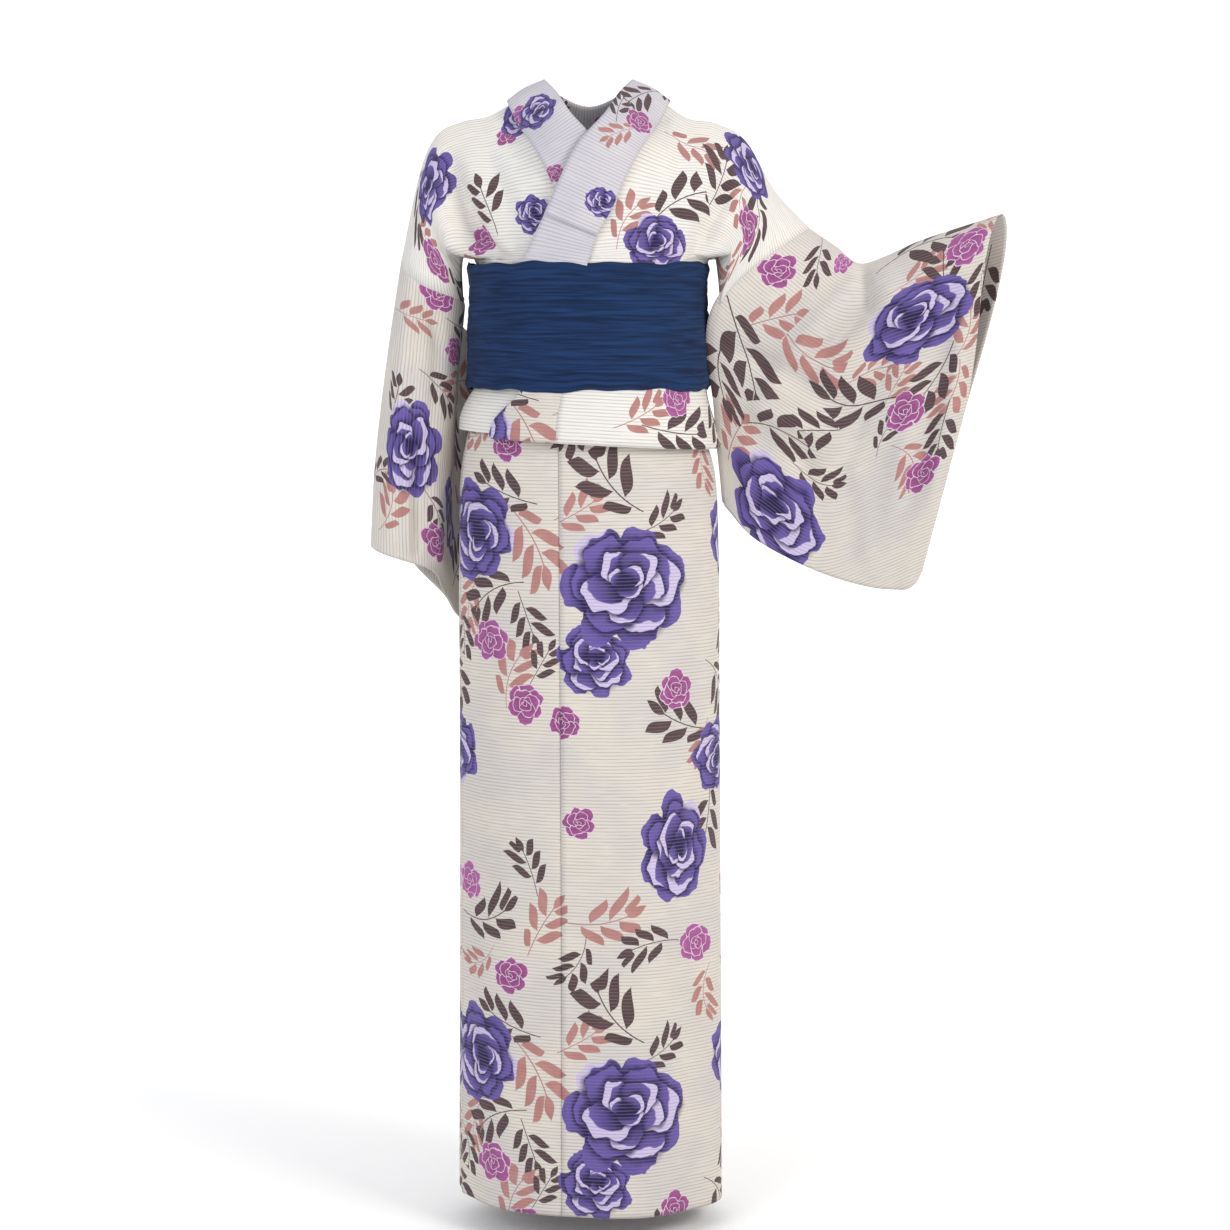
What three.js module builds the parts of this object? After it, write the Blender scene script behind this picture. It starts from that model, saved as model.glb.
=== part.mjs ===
// Cotton yukata robe worn closed with a crinkled obi, kept as hollow cloth with nobody in it.
// Millimetres, +Z up, front at -Y. The origin is on the wearer's centre line at shoulder height.
// Side +1 is the wearer's left (at +X), side -1 the wearer's right.
import * as THREE from 'three';

// ---- driving sizes ----
const WALL = 1.2;
const OBI_WALL = 2.0;
const HEM_Z = -1310;
const HEM_TILT = -0.03;
const TIE_Z = -266;
const OBI_TOP_Z = -183;
const OBI_LOW_Z = -329;
const OBI_SEAT = 21.6;
const OBI_LAP = 2.9;
const OBI_LAP_HALF = 24;
const TUCK_Z = -384;
const TUCK_TILT = -0.06;
const WAIST_Z = -177;
const OKUMI_TOP_Z = -224;
const OKUMI_SEAM_DEG = 11.8;
const SIDE_SEAM_DEG = 89.6;
const SEAM_DEG = 0.25;
const BACK_SEAM_DEG = 179.75;
const CHEST_DROP = 170;
const BACK_DROP = 84;
const COLLAR_LIFT = 3.3;
const NECK_LIFT = 4;
const OVER_LIFT = 2.8;
const OVER_END_LEFT = 7;
const OVER_END_RIGHT = 5.6;
const COLLAR_END = 8.75;
const COLLAR_STEP = 0.35;
const NECK_REACH = 0.28;
const SLEEVE_JOIN = 0.34;
const SLEEVE_GAP = 0.016;
const BAG_HALF = 2.0;
const CUFF_HALF = 0.85;
const CORNER_START = 0.92;
const CORNER_DEPTH = 0.05;
const ARM_SHARE = 0.72;

const RAD = Math.PI / 180;

// The hanging form, one row for each level: half width, middle, depth in front and behind.
const girth = [
  { z: HEM_Z, half: 163, mid: 0, front: 109, back: 103 },
  { z: -1000, half: 160.5, mid: 0, front: 107, back: 101 },
  { z: -703, half: 158.6, mid: -1, front: 106, back: 100 },
  { z: -500, half: 157, mid: -2, front: 104, back: 99 },
  { z: -425, half: 153, mid: -3, front: 102, back: 97 },
  { z: -388, half: 144.5, mid: -4.7, front: 98, back: 94 },
  { z: -360, half: 137, mid: -4, front: 96, back: 91 },
  { z: -330, half: 125, mid: -1, front: 93, back: 86 },
  { z: -260, half: 121.5, mid: -0.5, front: 93, back: 84 },
  { z: -190, half: 121.5, mid: -0.5, front: 93, back: 84 },
  { z: -100, half: 170, mid: 0, front: 93, back: 92 },
  { z: 40, half: 190, mid: 0, front: 93, back: 90 },
];

// Distance out from the form of each turn of cloth: skirt, inside of the tuck, outside of it.
const turns = {
  '-1': { skirt: -4.4, inner: 5.3, outer: 8 },
  '1': { skirt: -1, inner: 2, outer: 16.2 },
  'behind': { skirt: -2.5, inner: 3.4, outer: 10.8 },
};

// Top of the shoulder line at each distance from the centre.
const shoulderTop = {
  '-1': [
    { x: 0, z: 30 }, { x: 45, z: 26 }, { x: 84, z: -4 }, { x: 116, z: -11 }, { x: 151, z: -19 },
    { x: 171, z: -29 }, { x: 186, z: -44 }, { x: 197, z: -72 }, { x: 210, z: -131 }, { x: 221, z: -181 },
  ],
  '1': [
    { x: 0, z: 30 }, { x: 45, z: 26 }, { x: 84, z: -6 }, { x: 116, z: -14 }, { x: 149, z: -20 },
    { x: 172, z: -30 }, { x: 186, z: -42 }, { x: 202, z: -67 }, { x: 219, z: -98 }, { x: 261, z: -142 },
  ],
};

// Lengthwise lines of a body panel between the neck and the sleeve:
// where each crosses the shoulder, the chest and the waist.
const panelLines = {
  '-1': [
    { w: 0.25, shoulderX: 116, chestX: 60, chestZ: -140, armY: 0, waistDeg: 30 },
    { w: 0.5, shoulderX: 150, chestX: 97, chestZ: -140, armY: 0, waistDeg: 52 },
    { w: 0.7, shoulderX: 180, chestX: 131, chestZ: -143, armY: 44, waistDeg: 68 },
    { w: 0.85, shoulderX: 199, chestX: 168, chestZ: -150, armY: 52, waistDeg: 80 },
  ],
  '1': [
    { w: 0.25, shoulderX: 116, chestX: 62, chestZ: -140, armY: 0, waistDeg: 30 },
    { w: 0.5, shoulderX: 150, chestX: 102, chestZ: -140, armY: 0, waistDeg: 52 },
    { w: 0.7, shoulderX: 186, chestX: 137, chestZ: -146, armY: 52, waistDeg: 68 },
    { w: 0.85, shoulderX: 219, chestX: 166, chestZ: -166, armY: 52, waistDeg: 80 },
  ],
};

// Collar stations from the nape to the end under the obi: outer (sewn) and inner (free) edge.
const collarStations = [
  { s: 0, outX: 0, outY: 94, outZ: -44, inX: 0, inY: 82, inZ: 6 },
  { s: 1, outX: 50, outY: 83, outZ: -26, inX: 33, inY: 62, inZ: 16 },
  { s: 1.5, outX: 83, outY: 48, outZ: -9, inX: 48, inY: 34, inZ: 25 },
  { s: 2, outX: 94, outY: 6, outZ: 5, inX: 51, inY: 2, inZ: 29 },
];
const collarFront = [
  { s: 3, outX: 80, outZ: -25, inX: 35, inZ: 12 },
  { s: 4, outX: 65, outZ: -47, inX: 19, inZ: -14 },
  { s: 5, outX: 47, outZ: -80, inX: -13, inZ: -51 },
  { s: 6, outX: 28, outZ: -122, inX: -34, inZ: -94 },
  { s: 7, outX: 11, outZ: -153, inX: -49, inZ: -128 },
  { s: 8, outX: 2, outZ: -178, inX: -68, inZ: -166 },
  { s: 9, outX: -9, outZ: -212, inX: -84, inZ: -204 },
];

// Sleeve sections from the armhole to the cuff. Each runs from the fold over the arm
// through an upper and a lower point to the bottom of the bag.
const sleeves = {
  '-1': {
    marks: [0, 0.25, 0.5, 0.75, 1],
    rows: [
      { p: 0, x: [-221, -184, -164, -151, -90], y: [0, 0, 36, 80, 124], z: [-181, -218, -236, -268, -305], puff: 44, reach: 0.72 },
      { p: 0.35, x: [-240, -194, -171, -155, -90], y: [0, 1, 36, 80, 124], z: [-300, -324, -362, -405, -436], puff: 44, reach: 0.66 },
      { p: 0.7, x: [-255, -200, -175, -155, -90], y: [1, 2, 36, 80, 124], z: [-420, -442, -482, -522, -548], puff: 42, reach: 0.6 },
      { p: 1, x: [-261, -204, -175, -154, -90], y: [2, 4, 36, 80, 124], z: [-516, -540, -580, -616, -640], puff: 36, reach: 0.5 },
    ],
  },
  '1': {
    marks: [0, 0.35, 0.7, 1],
    rows: [
      { p: 0, x: [261, 154, 154, 162], y: [0, -6, -6, -5], z: [-142, -235, -360, -468], puff: 42, reach: 0.95 },
      { p: 0.25, x: [292, 225, 212, 200], y: [-4, -12, -12, -14], z: [-163, -275, -400, -508], puff: 42, reach: 0.95 },
      { p: 0.45, x: [322, 296, 280, 262], y: [-20, -28, -30, -32], z: [-183, -300, -426, -540], puff: 40, reach: 0.9 },
      { p: 0.72, x: [392, 368, 350, 330], y: [-50, -54, -54, -54], z: [-155, -300, -436, -560], puff: 38, reach: 0.75 },
      { p: 1, x: [474, 448, 417, 384], y: [-90, -90, -82, -74], z: [-128, -292, -426, -562], puff: 34, reach: 0.5 },
    ],
  },
};

// ---- small helpers ----
function mix(a, b, t) {
  return a + (b - a) * t;
}

function ease(from, to, v) {
  const t = Math.min(1, Math.max(0, (v - from) / (to - from)));
  return t * t * (3 - 2 * t);
}

// A smooth curve through the values at rising marks.
function smooth(marks, values, at) {
  const n = marks.length;
  let k = 0;
  while (k < n - 2 && at > marks[k + 1]) k += 1;
  const slope = (i) => (values[i + 1] - values[i]) / (marks[i + 1] - marks[i]);
  const lean = (i) => {
    if (i === 0) return slope(0);
    if (i === n - 1) return slope(n - 2);
    return 0.5 * (slope(i - 1) + slope(i));
  };
  const span = marks[k + 1] - marks[k];
  const t = (at - marks[k]) / span;
  const t2 = t * t;
  const t3 = t2 * t;
  const a = values[k] * (2 * t3 - 3 * t2 + 1) + values[k + 1] * (3 * t2 - 2 * t3);
  return a + span * (lean(k) * (t3 - 2 * t2 + t) + lean(k + 1) * (t3 - t2));
}

function track(rows, by, at, column) {
  const marks = rows.map((row) => row[by]);
  const held = Math.min(marks[marks.length - 1], Math.max(marks[0], at));
  return smooth(marks, rows.map((row) => row[column]), held);
}

function rise(r) {
  return Math.sin(0.5 * Math.PI * Math.min(1, Math.max(0, r)) ** 0.8);
}

// ---- the form the cloth hangs on ----
function onForm(deg, z, out) {
  const c = Math.cos(deg * RAD);
  const depth = track(girth, 'z', z, c > 0 ? 'front' : 'back') + out;
  const half = track(girth, 'z', z, 'half') + out;
  return [track(girth, 'z', z, 'mid') + half * Math.sin(deg * RAD), -depth * c, z];
}

function turnOut(side, turn, deg) {
  const behind = ease(112, 168, Math.abs(deg));
  return mix(turns[side][turn], turns.behind[turn], behind);
}

function chestY(side, x, z, out) {
  const drop = track(shoulderTop[side], 'x', Math.abs(x), 'z') - z;
  const reach = Math.min(0.98, Math.abs(x) / track(girth, 'z', z, 'half'));
  const depth = track(girth, 'z', z, 'front') * Math.sqrt(1 - reach * reach);
  return -rise(drop / CHEST_DROP) * depth - out * ease(-10, 60, drop);
}

function backY(side, x, z, out) {
  const drop = track(shoulderTop[side], 'x', Math.abs(x), 'z') - z;
  const reach = Math.min(0.98, Math.abs(x) / track(girth, 'z', z, 'half'));
  const depth = track(girth, 'z', z, 'back') * Math.sqrt(1 - reach * reach);
  return rise(drop / BACK_DROP) * depth + out * ease(20, 150, drop);
}

// ---- collar ----
function collarRows(side) {
  const rows = collarStations.map((row) => ({
    s: row.s,
    out: [side * row.outX, row.outY, row.outZ],
    mid: [side * 0.5 * (row.outX + row.inX) * 1.03, 0.5 * (row.outY + row.inY) * 1.04, 0.5 * (row.outZ + row.inZ) + 2],
    in: [side * row.inX, row.inY, row.inZ],
  }));
    for (const row of collarFront) {
    const at = (x, z) => {
      const y = (level) => chestY(side, side * x, level, turns[side].outer);
      const slope = (y(z + 1) - y(z - 1)) / 2;
      return [side * x, y(z) - (COLLAR_LIFT + 0.8 * ease(-60, -20, z)) * Math.sqrt(1 + slope * slope), z];
    };
    rows.push({
      s: row.s,
      out: at(row.outX, row.outZ),
      mid: at(0.5 * (row.outX + row.inX), 0.5 * (row.outZ + row.inZ)),
      in: at(row.inX, row.inZ),
    });
  }
  return rows;
}

const collarTable = { '-1': collarRows(-1), '1': collarRows(1) };

function collarBase(s, across) {
  const side = s < 0 ? -1 : 1;
  const rows = collarTable[side];
  const marks = rows.map((row) => row.s);
  return [0, 1, 2].map((k) => {
    const edge = (name) => {
      const values = rows.map((row) => row[name][k]);
      // the two halves are one strip, so it stays smooth across the nape
      const mirrored = k === 0 ? -values[1] : values[1];
      return smooth([-1, ...marks], [mirrored, ...values], Math.abs(s));
    };
    return smooth([0, 0.5, 1], [edge('out'), edge('mid'), edge('in')], across);
  });
}

function collarPoint(s, across, lift) {
  const d = 0.02;
  const a = collarBase(s - d, across);
  const b = collarBase(s + d, across);
  const e = collarBase(s, Math.max(0, across - d));
  const f = collarBase(s, Math.min(1, across + d));
  const along = new THREE.Vector3(b[0] - a[0], b[1] - a[1], b[2] - a[2]);
  const over = new THREE.Vector3(f[0] - e[0], f[1] - e[1], f[2] - e[2]);
  const n = over.cross(along).normalize();
  const base = collarBase(s, across);
  return [base[0] + n.x * lift, base[1] + n.y * lift, base[2] + n.z * lift];
}

// ---- sleeves ----
function sleeveMiddle(side, p, q) {
  const { marks, rows } = sleeves[side];
  const stops = rows.map((row) => row.p);
  return ['x', 'y', 'z'].map((axis) => smooth(
    stops,
    rows.map((row) => smooth(marks, row[axis], q)),
    p,
  ));
}

// Half the opening between the front and back of the bag, widest round the arm.
function sleeveHalf(side, p, q) {
  const { rows } = sleeves[side];
  const stops = rows.map((row) => row.p);
  const puff = smooth(stops, rows.map((row) => row.puff), p);
  const reach = smooth(stops, rows.map((row) => row.reach), p);
  const r = Math.min(1, q / reach);
  const drop = Math.sqrt(r) * (1 - r) ** 1.8 / 0.3164;
  const closed = mix(BAG_HALF, CUFF_HALF, ease(0.9, 0.99, p));
  return puff * drop + closed * ease(0, 0.12, q);
}

function sleevePoint(side, p, q, face) {
  const d = 0.01;
  const u = [sleeveMiddle(side, p - d, q), sleeveMiddle(side, p + d, q)];
  const q0 = Math.max(0, q - d);
  const q1 = Math.min(1, q + d);
  const v = [sleeveMiddle(side, p, q0), sleeveMiddle(side, p, q1)];
  const along = new THREE.Vector3(u[1][0] - u[0][0], u[1][1] - u[0][1], u[1][2] - u[0][2]);
  const down = new THREE.Vector3(v[1][0] - v[0][0], v[1][1] - v[0][1], v[1][2] - v[0][2]);
  const n = along.cross(down).normalize();
  if (side > 0) n.negate();
  const h = face * sleeveHalf(side, p, q);
  const m = sleeveMiddle(side, p, q);
  return [m[0] + n.x * h, m[1] + n.y * h, m[2] + n.z * h];
}

// ---- body panels ----
// A point of the bodice: w from the neck or centre seam to the sleeve, t from shoulder to waist.
function bodicePoint(side, face, w, t) {
  const out = turns[side].outer;
  const outBehind = turns.behind.outer;
  const fall = ease(ARM_SHARE, 1, t);
  const edge = [];
  const lift = mix(NECK_LIFT, COLLAR_LIFT, ease(0.1, 0.4, t));
  if (face > 0) {
    const s = side * mix(2, 8.5, Math.min(1, t) ** 0.9);
    edge.push({ w: 0, at: collarPoint(s, 0.28, -lift) });
  } else {
    const round = Math.min(1, t / NECK_REACH);
    const s = side * mix(2, 0.05, round);
    const neck = collarPoint(s, 0.28, -lift);
    const z = mix(neck[2], WAIST_Z, ease(0, 1, 0.5 + 0.5 * (t - NECK_REACH) / (1 - NECK_REACH)) * 2 - 1);
    const down = t > NECK_REACH ? [side * 0.4, backY(side, 0, z, outBehind), z] : neck;
    const join = ease(NECK_REACH, NECK_REACH + 0.25, t);
    edge.push({ w: 0, at: [down[0], mix(neck[1], down[1], join), down[2]] });
  }
  for (const line of panelLines[side]) {
    const r = Math.min(1, t / ARM_SHARE);
    const behindX = face > 0 ? line.chestX : mix(line.chestX, line.shoulderX, 0.25);
    const x = mix(line.shoulderX, behindX, r ** 1.4);
    const top = track(shoulderTop[side], 'x', line.shoulderX, 'z');
    const low = t > ARM_SHARE ? mix(line.chestZ, WAIST_Z, (t - ARM_SHARE) / (1 - ARM_SHARE)) : 0;
    const z = t > ARM_SHARE ? low : mix(top, line.chestZ, r);
    const flat = face > 0 ? chestY(side, x, z, out) : backY(side, x, z, outBehind);
    const arm = -face * line.armY * rise(r);
    const share = line.armY > 0 ? 1 : 0;
    edge.push({ w: line.w, at: [side * x, mix(flat, arm, share), z] });
  }
  // the outer edge follows the armhole, then turns in over the top of the obi
  const r = Math.min(1, t / ARM_SHARE);
  const joined = sleevePoint(side, 0, SLEEVE_JOIN * r, face);
  const turnIn = [side * 151, -face * 12, OBI_TOP_Z + 13];
  const late = ease(ARM_SHARE, 0.9, t);
  edge.push({ w: 1, at: joined.map((v, k) => mix(v, turnIn[k], late)) });
  const marks = edge.map((e) => e.w);
  const free = [0, 1, 2].map((k) => smooth(marks, edge.map((e) => e.at[k]), w));
  if (face > 0) {
    const chest = chestY(side, free[0], free[2], out);
    const share = ease(4, -26, free[2]) * (1 - ease(85, 125, Math.abs(free[0])));
    free[1] = mix(free[1], chest, share);
  } else {
    const back = backY(side, free[0], free[2], outBehind);
    const share = ease(-20, -55, free[2]) * (1 - ease(85, 125, Math.abs(free[0])));
    free[1] = mix(free[1], back, share);
  }
  const deg = panelDeg(side, face, w);
  const turn = turnOut(side, 'outer', deg);
  const waist = onForm(deg, WAIST_Z, turn);
  return free.map((v, k) => mix(v, waist[k], fall ** 3));
}

function panelDeg(side, face, w) {
  if (face > 0) return side * mix(-OKUMI_SEAM_DEG + SEAM_DEG, SIDE_SEAM_DEG, w);
  return side * mix(BACK_SEAM_DEG, SIDE_SEAM_DEG + 0.5, w);
}

// The levels down one face of a panel from the waist to the hem, through the tuck under the obi.
function fallRows(side) {
  const rows = [];
  const step = (turn, z) => rows.push({ turn, z });
  for (const z of [-196, -230, -280, -330, -364]) step('outer', z);
  for (const a of [0, 45, 90, 135, 180]) rows.push({ bend: a, low: true });
  for (const z of [-350, -300]) step('inner', z);
  for (const a of [0, 45, 90, 135, 180]) rows.push({ bend: a, low: false });
  for (const z of [-320, -365, -400, -430, -500, -620, -760, -900, -1050, -1190, HEM_Z]) step('skirt', z);
  return rows;
}

function fallPoint(side, row, deg) {
  const inner = turnOut(side, 'inner', deg);
  if (row.bend === undefined) {
    const at = onForm(deg, row.z, turnOut(side, row.turn, deg));
    const share = ease(-395, -1100, row.z);
    if (row.turn === 'skirt') at[2] += HEM_TILT * at[0] * share;
    if (row.turn === 'outer') at[2] += TUCK_TILT * at[0] * ease(-250, -366, row.z);
    return at;
  }
  const other = turnOut(side, row.low ? 'outer' : 'skirt', deg);
  const radius = 0.5 * Math.abs(other - inner);
  const centre = 0.5 * (other + inner);
  const c = Math.cos(row.bend * RAD) * radius;
  const s = Math.sin(row.bend * RAD) * radius;
  const x = onForm(deg, TUCK_Z, 0)[0];
  if (row.low) return onForm(deg, TUCK_Z + TUCK_TILT * x - s, centre + c);
  return onForm(deg, TIE_Z + s, centre + c);
}

// ---- solids ----
function solid(name, points, index, colour) {
  const geometry = new THREE.BufferGeometry();
  geometry.setAttribute('position', new THREE.Float32BufferAttribute(points.flat(), 3));
  let volume = 0;
  for (let k = 0; k < index.length; k += 3) {
    const [a, b, c] = [0, 1, 2].map((m) => new THREE.Vector3(...points[index[k + m]]));
    volume += a.dot(b.cross(c)) / 6;
  }
  geometry.setIndex(volume > 0 ? index : index.slice().reverse());
  geometry.computeVertexNormals();
  const material = new THREE.MeshStandardMaterial({ color: colour, roughness: 0.85, metalness: 0 });
  material.name = name;
  const mesh = new THREE.Mesh(geometry, material);
  mesh.name = name;
  return mesh;
}

// Cloth of even thickness on a grid of points; looped grids close round on themselves.
function cloth(name, grid, wall, looped, colour) {
  const rows = grid.length;
  const cols = grid[0].length;
  const vector = (j, i) => new THREE.Vector3(...grid[j][i]);
  const faces = [[], []];
  for (let j = 0; j < rows; j += 1) {
    for (let i = 0; i < cols; i += 1) {
      const up = vector(Math.min(rows - 1, j + 1), i).sub(vector(Math.max(0, j - 1), i));
      const left = looped ? (i + cols - 1) % cols : Math.max(0, i - 1);
      const right = looped ? (i + 1) % cols : Math.min(cols - 1, i + 1);
      const n = vector(j, right).sub(vector(j, left)).cross(up).normalize();
      const p = vector(j, i);
      faces[0].push(p.clone().addScaledVector(n, 0.5 * wall).toArray());
      faces[1].push(p.clone().addScaledVector(n, -0.5 * wall).toArray());
    }
  }
  const points = [...faces[0], ...faces[1]];
  const index = [];
  const at = (face, j, i) => face * rows * cols + j * cols + (i % cols);
  const quad = (a, b, c, d) => index.push(a, b, c, a, c, d);
  const wide = looped ? cols : cols - 1;
  for (let j = 0; j < rows - 1; j += 1) {
    for (let i = 0; i < wide; i += 1) {
      quad(at(0, j, i), at(0, j, i + 1), at(0, j + 1, i + 1), at(0, j + 1, i));
      quad(at(1, j, i), at(1, j + 1, i), at(1, j + 1, i + 1), at(1, j, i + 1));
    }
  }
  for (let i = 0; i < wide; i += 1) {
    quad(at(0, 0, i), at(1, 0, i), at(1, 0, i + 1), at(0, 0, i + 1));
    quad(at(0, rows - 1, i), at(0, rows - 1, i + 1), at(1, rows - 1, i + 1), at(1, rows - 1, i));
  }
  if (!looped) {
    for (let j = 0; j < rows - 1; j += 1) {
      quad(at(0, j, 0), at(0, j + 1, 0), at(1, j + 1, 0), at(1, j, 0));
      quad(at(0, j, cols - 1), at(1, j, cols - 1), at(1, j + 1, cols - 1), at(0, j + 1, cols - 1));
    }
  }
  return solid(name, points, index, colour);
}

function steps(count) {
  return Array.from({ length: count + 1 }, (_, k) => k / count);
}

function bodyPanel(name, side) {
  const grid = [];
  const across = steps(7);
  const upper = [0.96, 0.9, 0.81, ARM_SHARE, 0.61, 0.5, 0.4, 0.3, 0.21, 0.13, 0.06];
  const falls = fallRows(side);
  const faceRows = (face) => {
    const low = falls.map((row) => across.map((w) => {
      const deg = panelDeg(side, face, w);
      return fallPoint(side, row, deg);
    }));
    return low.reverse();
  };
  grid.push(...faceRows(1));
  grid.push(across.map((w) => bodicePoint(side, 1, w, 1)));
  for (const t of upper) grid.push(across.map((w) => bodicePoint(side, 1, w, t)));
  grid.push(across.map((w) => bodicePoint(side, 1, w, 0)));
  for (const t of upper.slice().reverse()) grid.push(across.map((w) => bodicePoint(side, -1, w, t)));
  grid.push(across.map((w) => bodicePoint(side, -1, w, 1)));
  grid.push(...faceRows(-1).reverse());
  return cloth(name, grid, WALL, false, 0xe6dfd3);
}

// The overlap panel: its free edge leans in the tuck and hangs plumb below it.
function okumiPanel(name, side) {
  const falls = fallRows(side).filter((row) => row.turn !== 'outer' || row.z < OKUMI_TOP_Z);
  const edgeDeg = (row) => {
    if (row.bend !== undefined) return row.low ? 44 : 48;
    if (row.turn === 'outer') return mix(33, 44, ease(-330, -384, row.z));
    return row.turn === 'inner' ? 46 : mix(48, 74, ease(-270, -390, row.z));
  };
  const grid = falls.map((row) => steps(5).map((w) => {
    const deg = -side * mix(OKUMI_SEAM_DEG, edgeDeg(row), w);
    return fallPoint(side, row, deg);
  }));
  return cloth(name, grid, WALL, false, 0xe6dfd3);
}

function collarStrip(name, from, to, lift) {
  const count = Math.round((to - from) / COLLAR_STEP);
  const grid = steps(count).map((k) => {
    const s = mix(from, to, k);
    return [0, 0.5, 1].map((c) => collarPoint(s, c, lift));
  });
  return cloth(name, grid, WALL, false, 0xe2dbd0);
}

// How much of its depth the bag keeps near the cuff, where its lower corner is rounded.
function cornerDepth(p) {
  const t = Math.min(1, Math.max(0, (p - CORNER_START) / (1 - CORNER_START)));
  return 1 - CORNER_DEPTH * (1 - Math.sqrt(1 - t * t));
}

function sleeveBag(name, side) {
  const along = [SLEEVE_GAP, 0.14, 0.28, 0.42, 0.56, 0.7, 0.84, 0.92, 0.98, 1];
  const down = [0, 0.025, 0.08, 0.16, 0.26, 0.38, 0.5, 0.62, 0.74, 0.86, 1];
  const grid = along.map((p) => {
    const depth = cornerDepth(p);
    const front = down.slice().reverse().map((q) => sleevePoint(side, p, q * depth, 1));
    const back = down.slice(1).map((q) => sleevePoint(side, p, q * depth, -1));
    return [...front, ...back];
  });
  return cloth(name, grid, WALL, true, 0xe4ddd1);
}

function obiBand(name) {
  const turn = 360 + 2 * OBI_LAP_HALF;
  const around = steps(44).map((k) => 180 - OBI_LAP_HALF + turn * k);
  const grid = steps(4).map((k) => around.map((deg, i) => {
    const z = mix(OBI_LOW_Z, OBI_TOP_Z, k);
    const lap = OBI_LAP * ease(0.84, 0.9, i / 44);
    return onForm(deg, z, OBI_SEAT + lap);
  }));
  return cloth(name, grid, OBI_WALL, false, 0x22385c);
}

const robe = new THREE.Group();
robe.name = 'yukata_robe';
robe.add(bodyPanel('body_left', 1));
robe.add(bodyPanel('body_right', -1));
robe.add(okumiPanel('okumi_left', 1));
robe.add(okumiPanel('okumi_right', -1));
robe.add(collarStrip('collar', -COLLAR_END, COLLAR_END, 0));
robe.add(collarStrip('over_collar', -OVER_END_RIGHT, OVER_END_LEFT, OVER_LIFT));
robe.add(sleeveBag('sleeve_left', 1));
robe.add(sleeveBag('sleeve_right', -1));
robe.add(obiBand('obi'));

export default robe;
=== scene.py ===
import math

import bpy
import numpy as np
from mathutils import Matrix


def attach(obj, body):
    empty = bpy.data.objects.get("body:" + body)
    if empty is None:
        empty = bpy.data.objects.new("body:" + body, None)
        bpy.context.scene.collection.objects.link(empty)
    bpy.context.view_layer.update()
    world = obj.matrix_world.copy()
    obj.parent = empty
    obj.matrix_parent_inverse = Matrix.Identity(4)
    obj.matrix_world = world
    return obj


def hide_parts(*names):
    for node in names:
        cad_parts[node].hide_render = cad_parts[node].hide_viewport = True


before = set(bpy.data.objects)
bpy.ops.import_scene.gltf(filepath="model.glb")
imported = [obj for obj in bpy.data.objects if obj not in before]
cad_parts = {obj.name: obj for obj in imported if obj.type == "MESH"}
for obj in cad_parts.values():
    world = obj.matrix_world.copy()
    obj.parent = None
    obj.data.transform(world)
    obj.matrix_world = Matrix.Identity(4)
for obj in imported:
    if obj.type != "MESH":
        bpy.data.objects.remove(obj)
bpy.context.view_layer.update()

# ---- Body lengths ----
# Two strips of printed cotton, each front and back in one over the shoulder. They are sewn
# at the sides and the back and hang from the shoulders. Above the hip each strip is folded
# up on itself and the obi binds the fold, which leaves a tuck showing below it.

# Sizes in mm, z up from the shoulders, angles in degrees round the body from the front.
MM = 0.001
CLOTH_WALL = 1.0
HEM_Z = -1310
HEM_TILT = -0.03
TIE_Z = -266
OBI_TOP_Z = -183
TUCK_Z = -384
TUCK_TILT = -0.06
WAIST_Z = -177
OKUMI_SEAM_DEG = 11.8
SIDE_SEAM_DEG = 89.6
SEAM_DEG = 0.25
BACK_SEAM_DEG = 179.75
CHEST_DROP = 170
BACK_DROP = 84
COLLAR_LIFT = 3.3
NECK_LIFT = 4
NECK_REACH = 0.28
# Where across the collar, from its sewn edge, the body's neck edge lies under it.
NECK_ACROSS = 0.28
SLEEVE_JOIN = 0.34
BAG_HALF = 2.0
CUFF_HALF = 0.85
CORNER_START = 0.92
CORNER_DEPTH = 0.05
ARM_SHARE = 0.72
# Where the bolt's chart starts for the right front and for the backs above the tuck (mm).
RIGHT_FRONT_U = 600
BEHIND_U = 300

# The hanging form by level: half width, middle, depth in front and behind.
girth = dict(
    z=[HEM_Z, -1000, -703, -500, -425, -388, -360, -330, -260, -190, -100, 40],
    half=[163, 160.5, 158.6, 157, 153, 144.5, 137, 125, 121.5, 121.5, 170, 190],
    mid=[0, 0, -1, -2, -3, -4.7, -4, -1, -0.5, -0.5, 0, 0],
    front=[109, 107, 106, 104, 102, 98, 96, 93, 93, 93, 93, 93],
    back=[103, 101, 100, 99, 97, 94, 91, 86, 84, 84, 92, 90],
)
# How far out from the form each turn of cloth lies.
turns = {
    -1: dict(skirt=-4.4, inner=5.3, outer=8),
    1: dict(skirt=-1, inner=2, outer=16.2),
    0: dict(skirt=-2.5, inner=3.4, outer=10.8),
}
shoulder_top = {
    -1: dict(
        x=[0, 45, 84, 116, 151, 171, 186, 197, 210, 221],
        z=[30, 26, -4, -11, -19, -29, -44, -72, -131, -181],
    ),
    1: dict(
        x=[0, 45, 84, 116, 149, 172, 186, 202, 219, 261],
        z=[30, 26, -6, -14, -20, -30, -42, -67, -98, -142],
    ),
}
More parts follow.
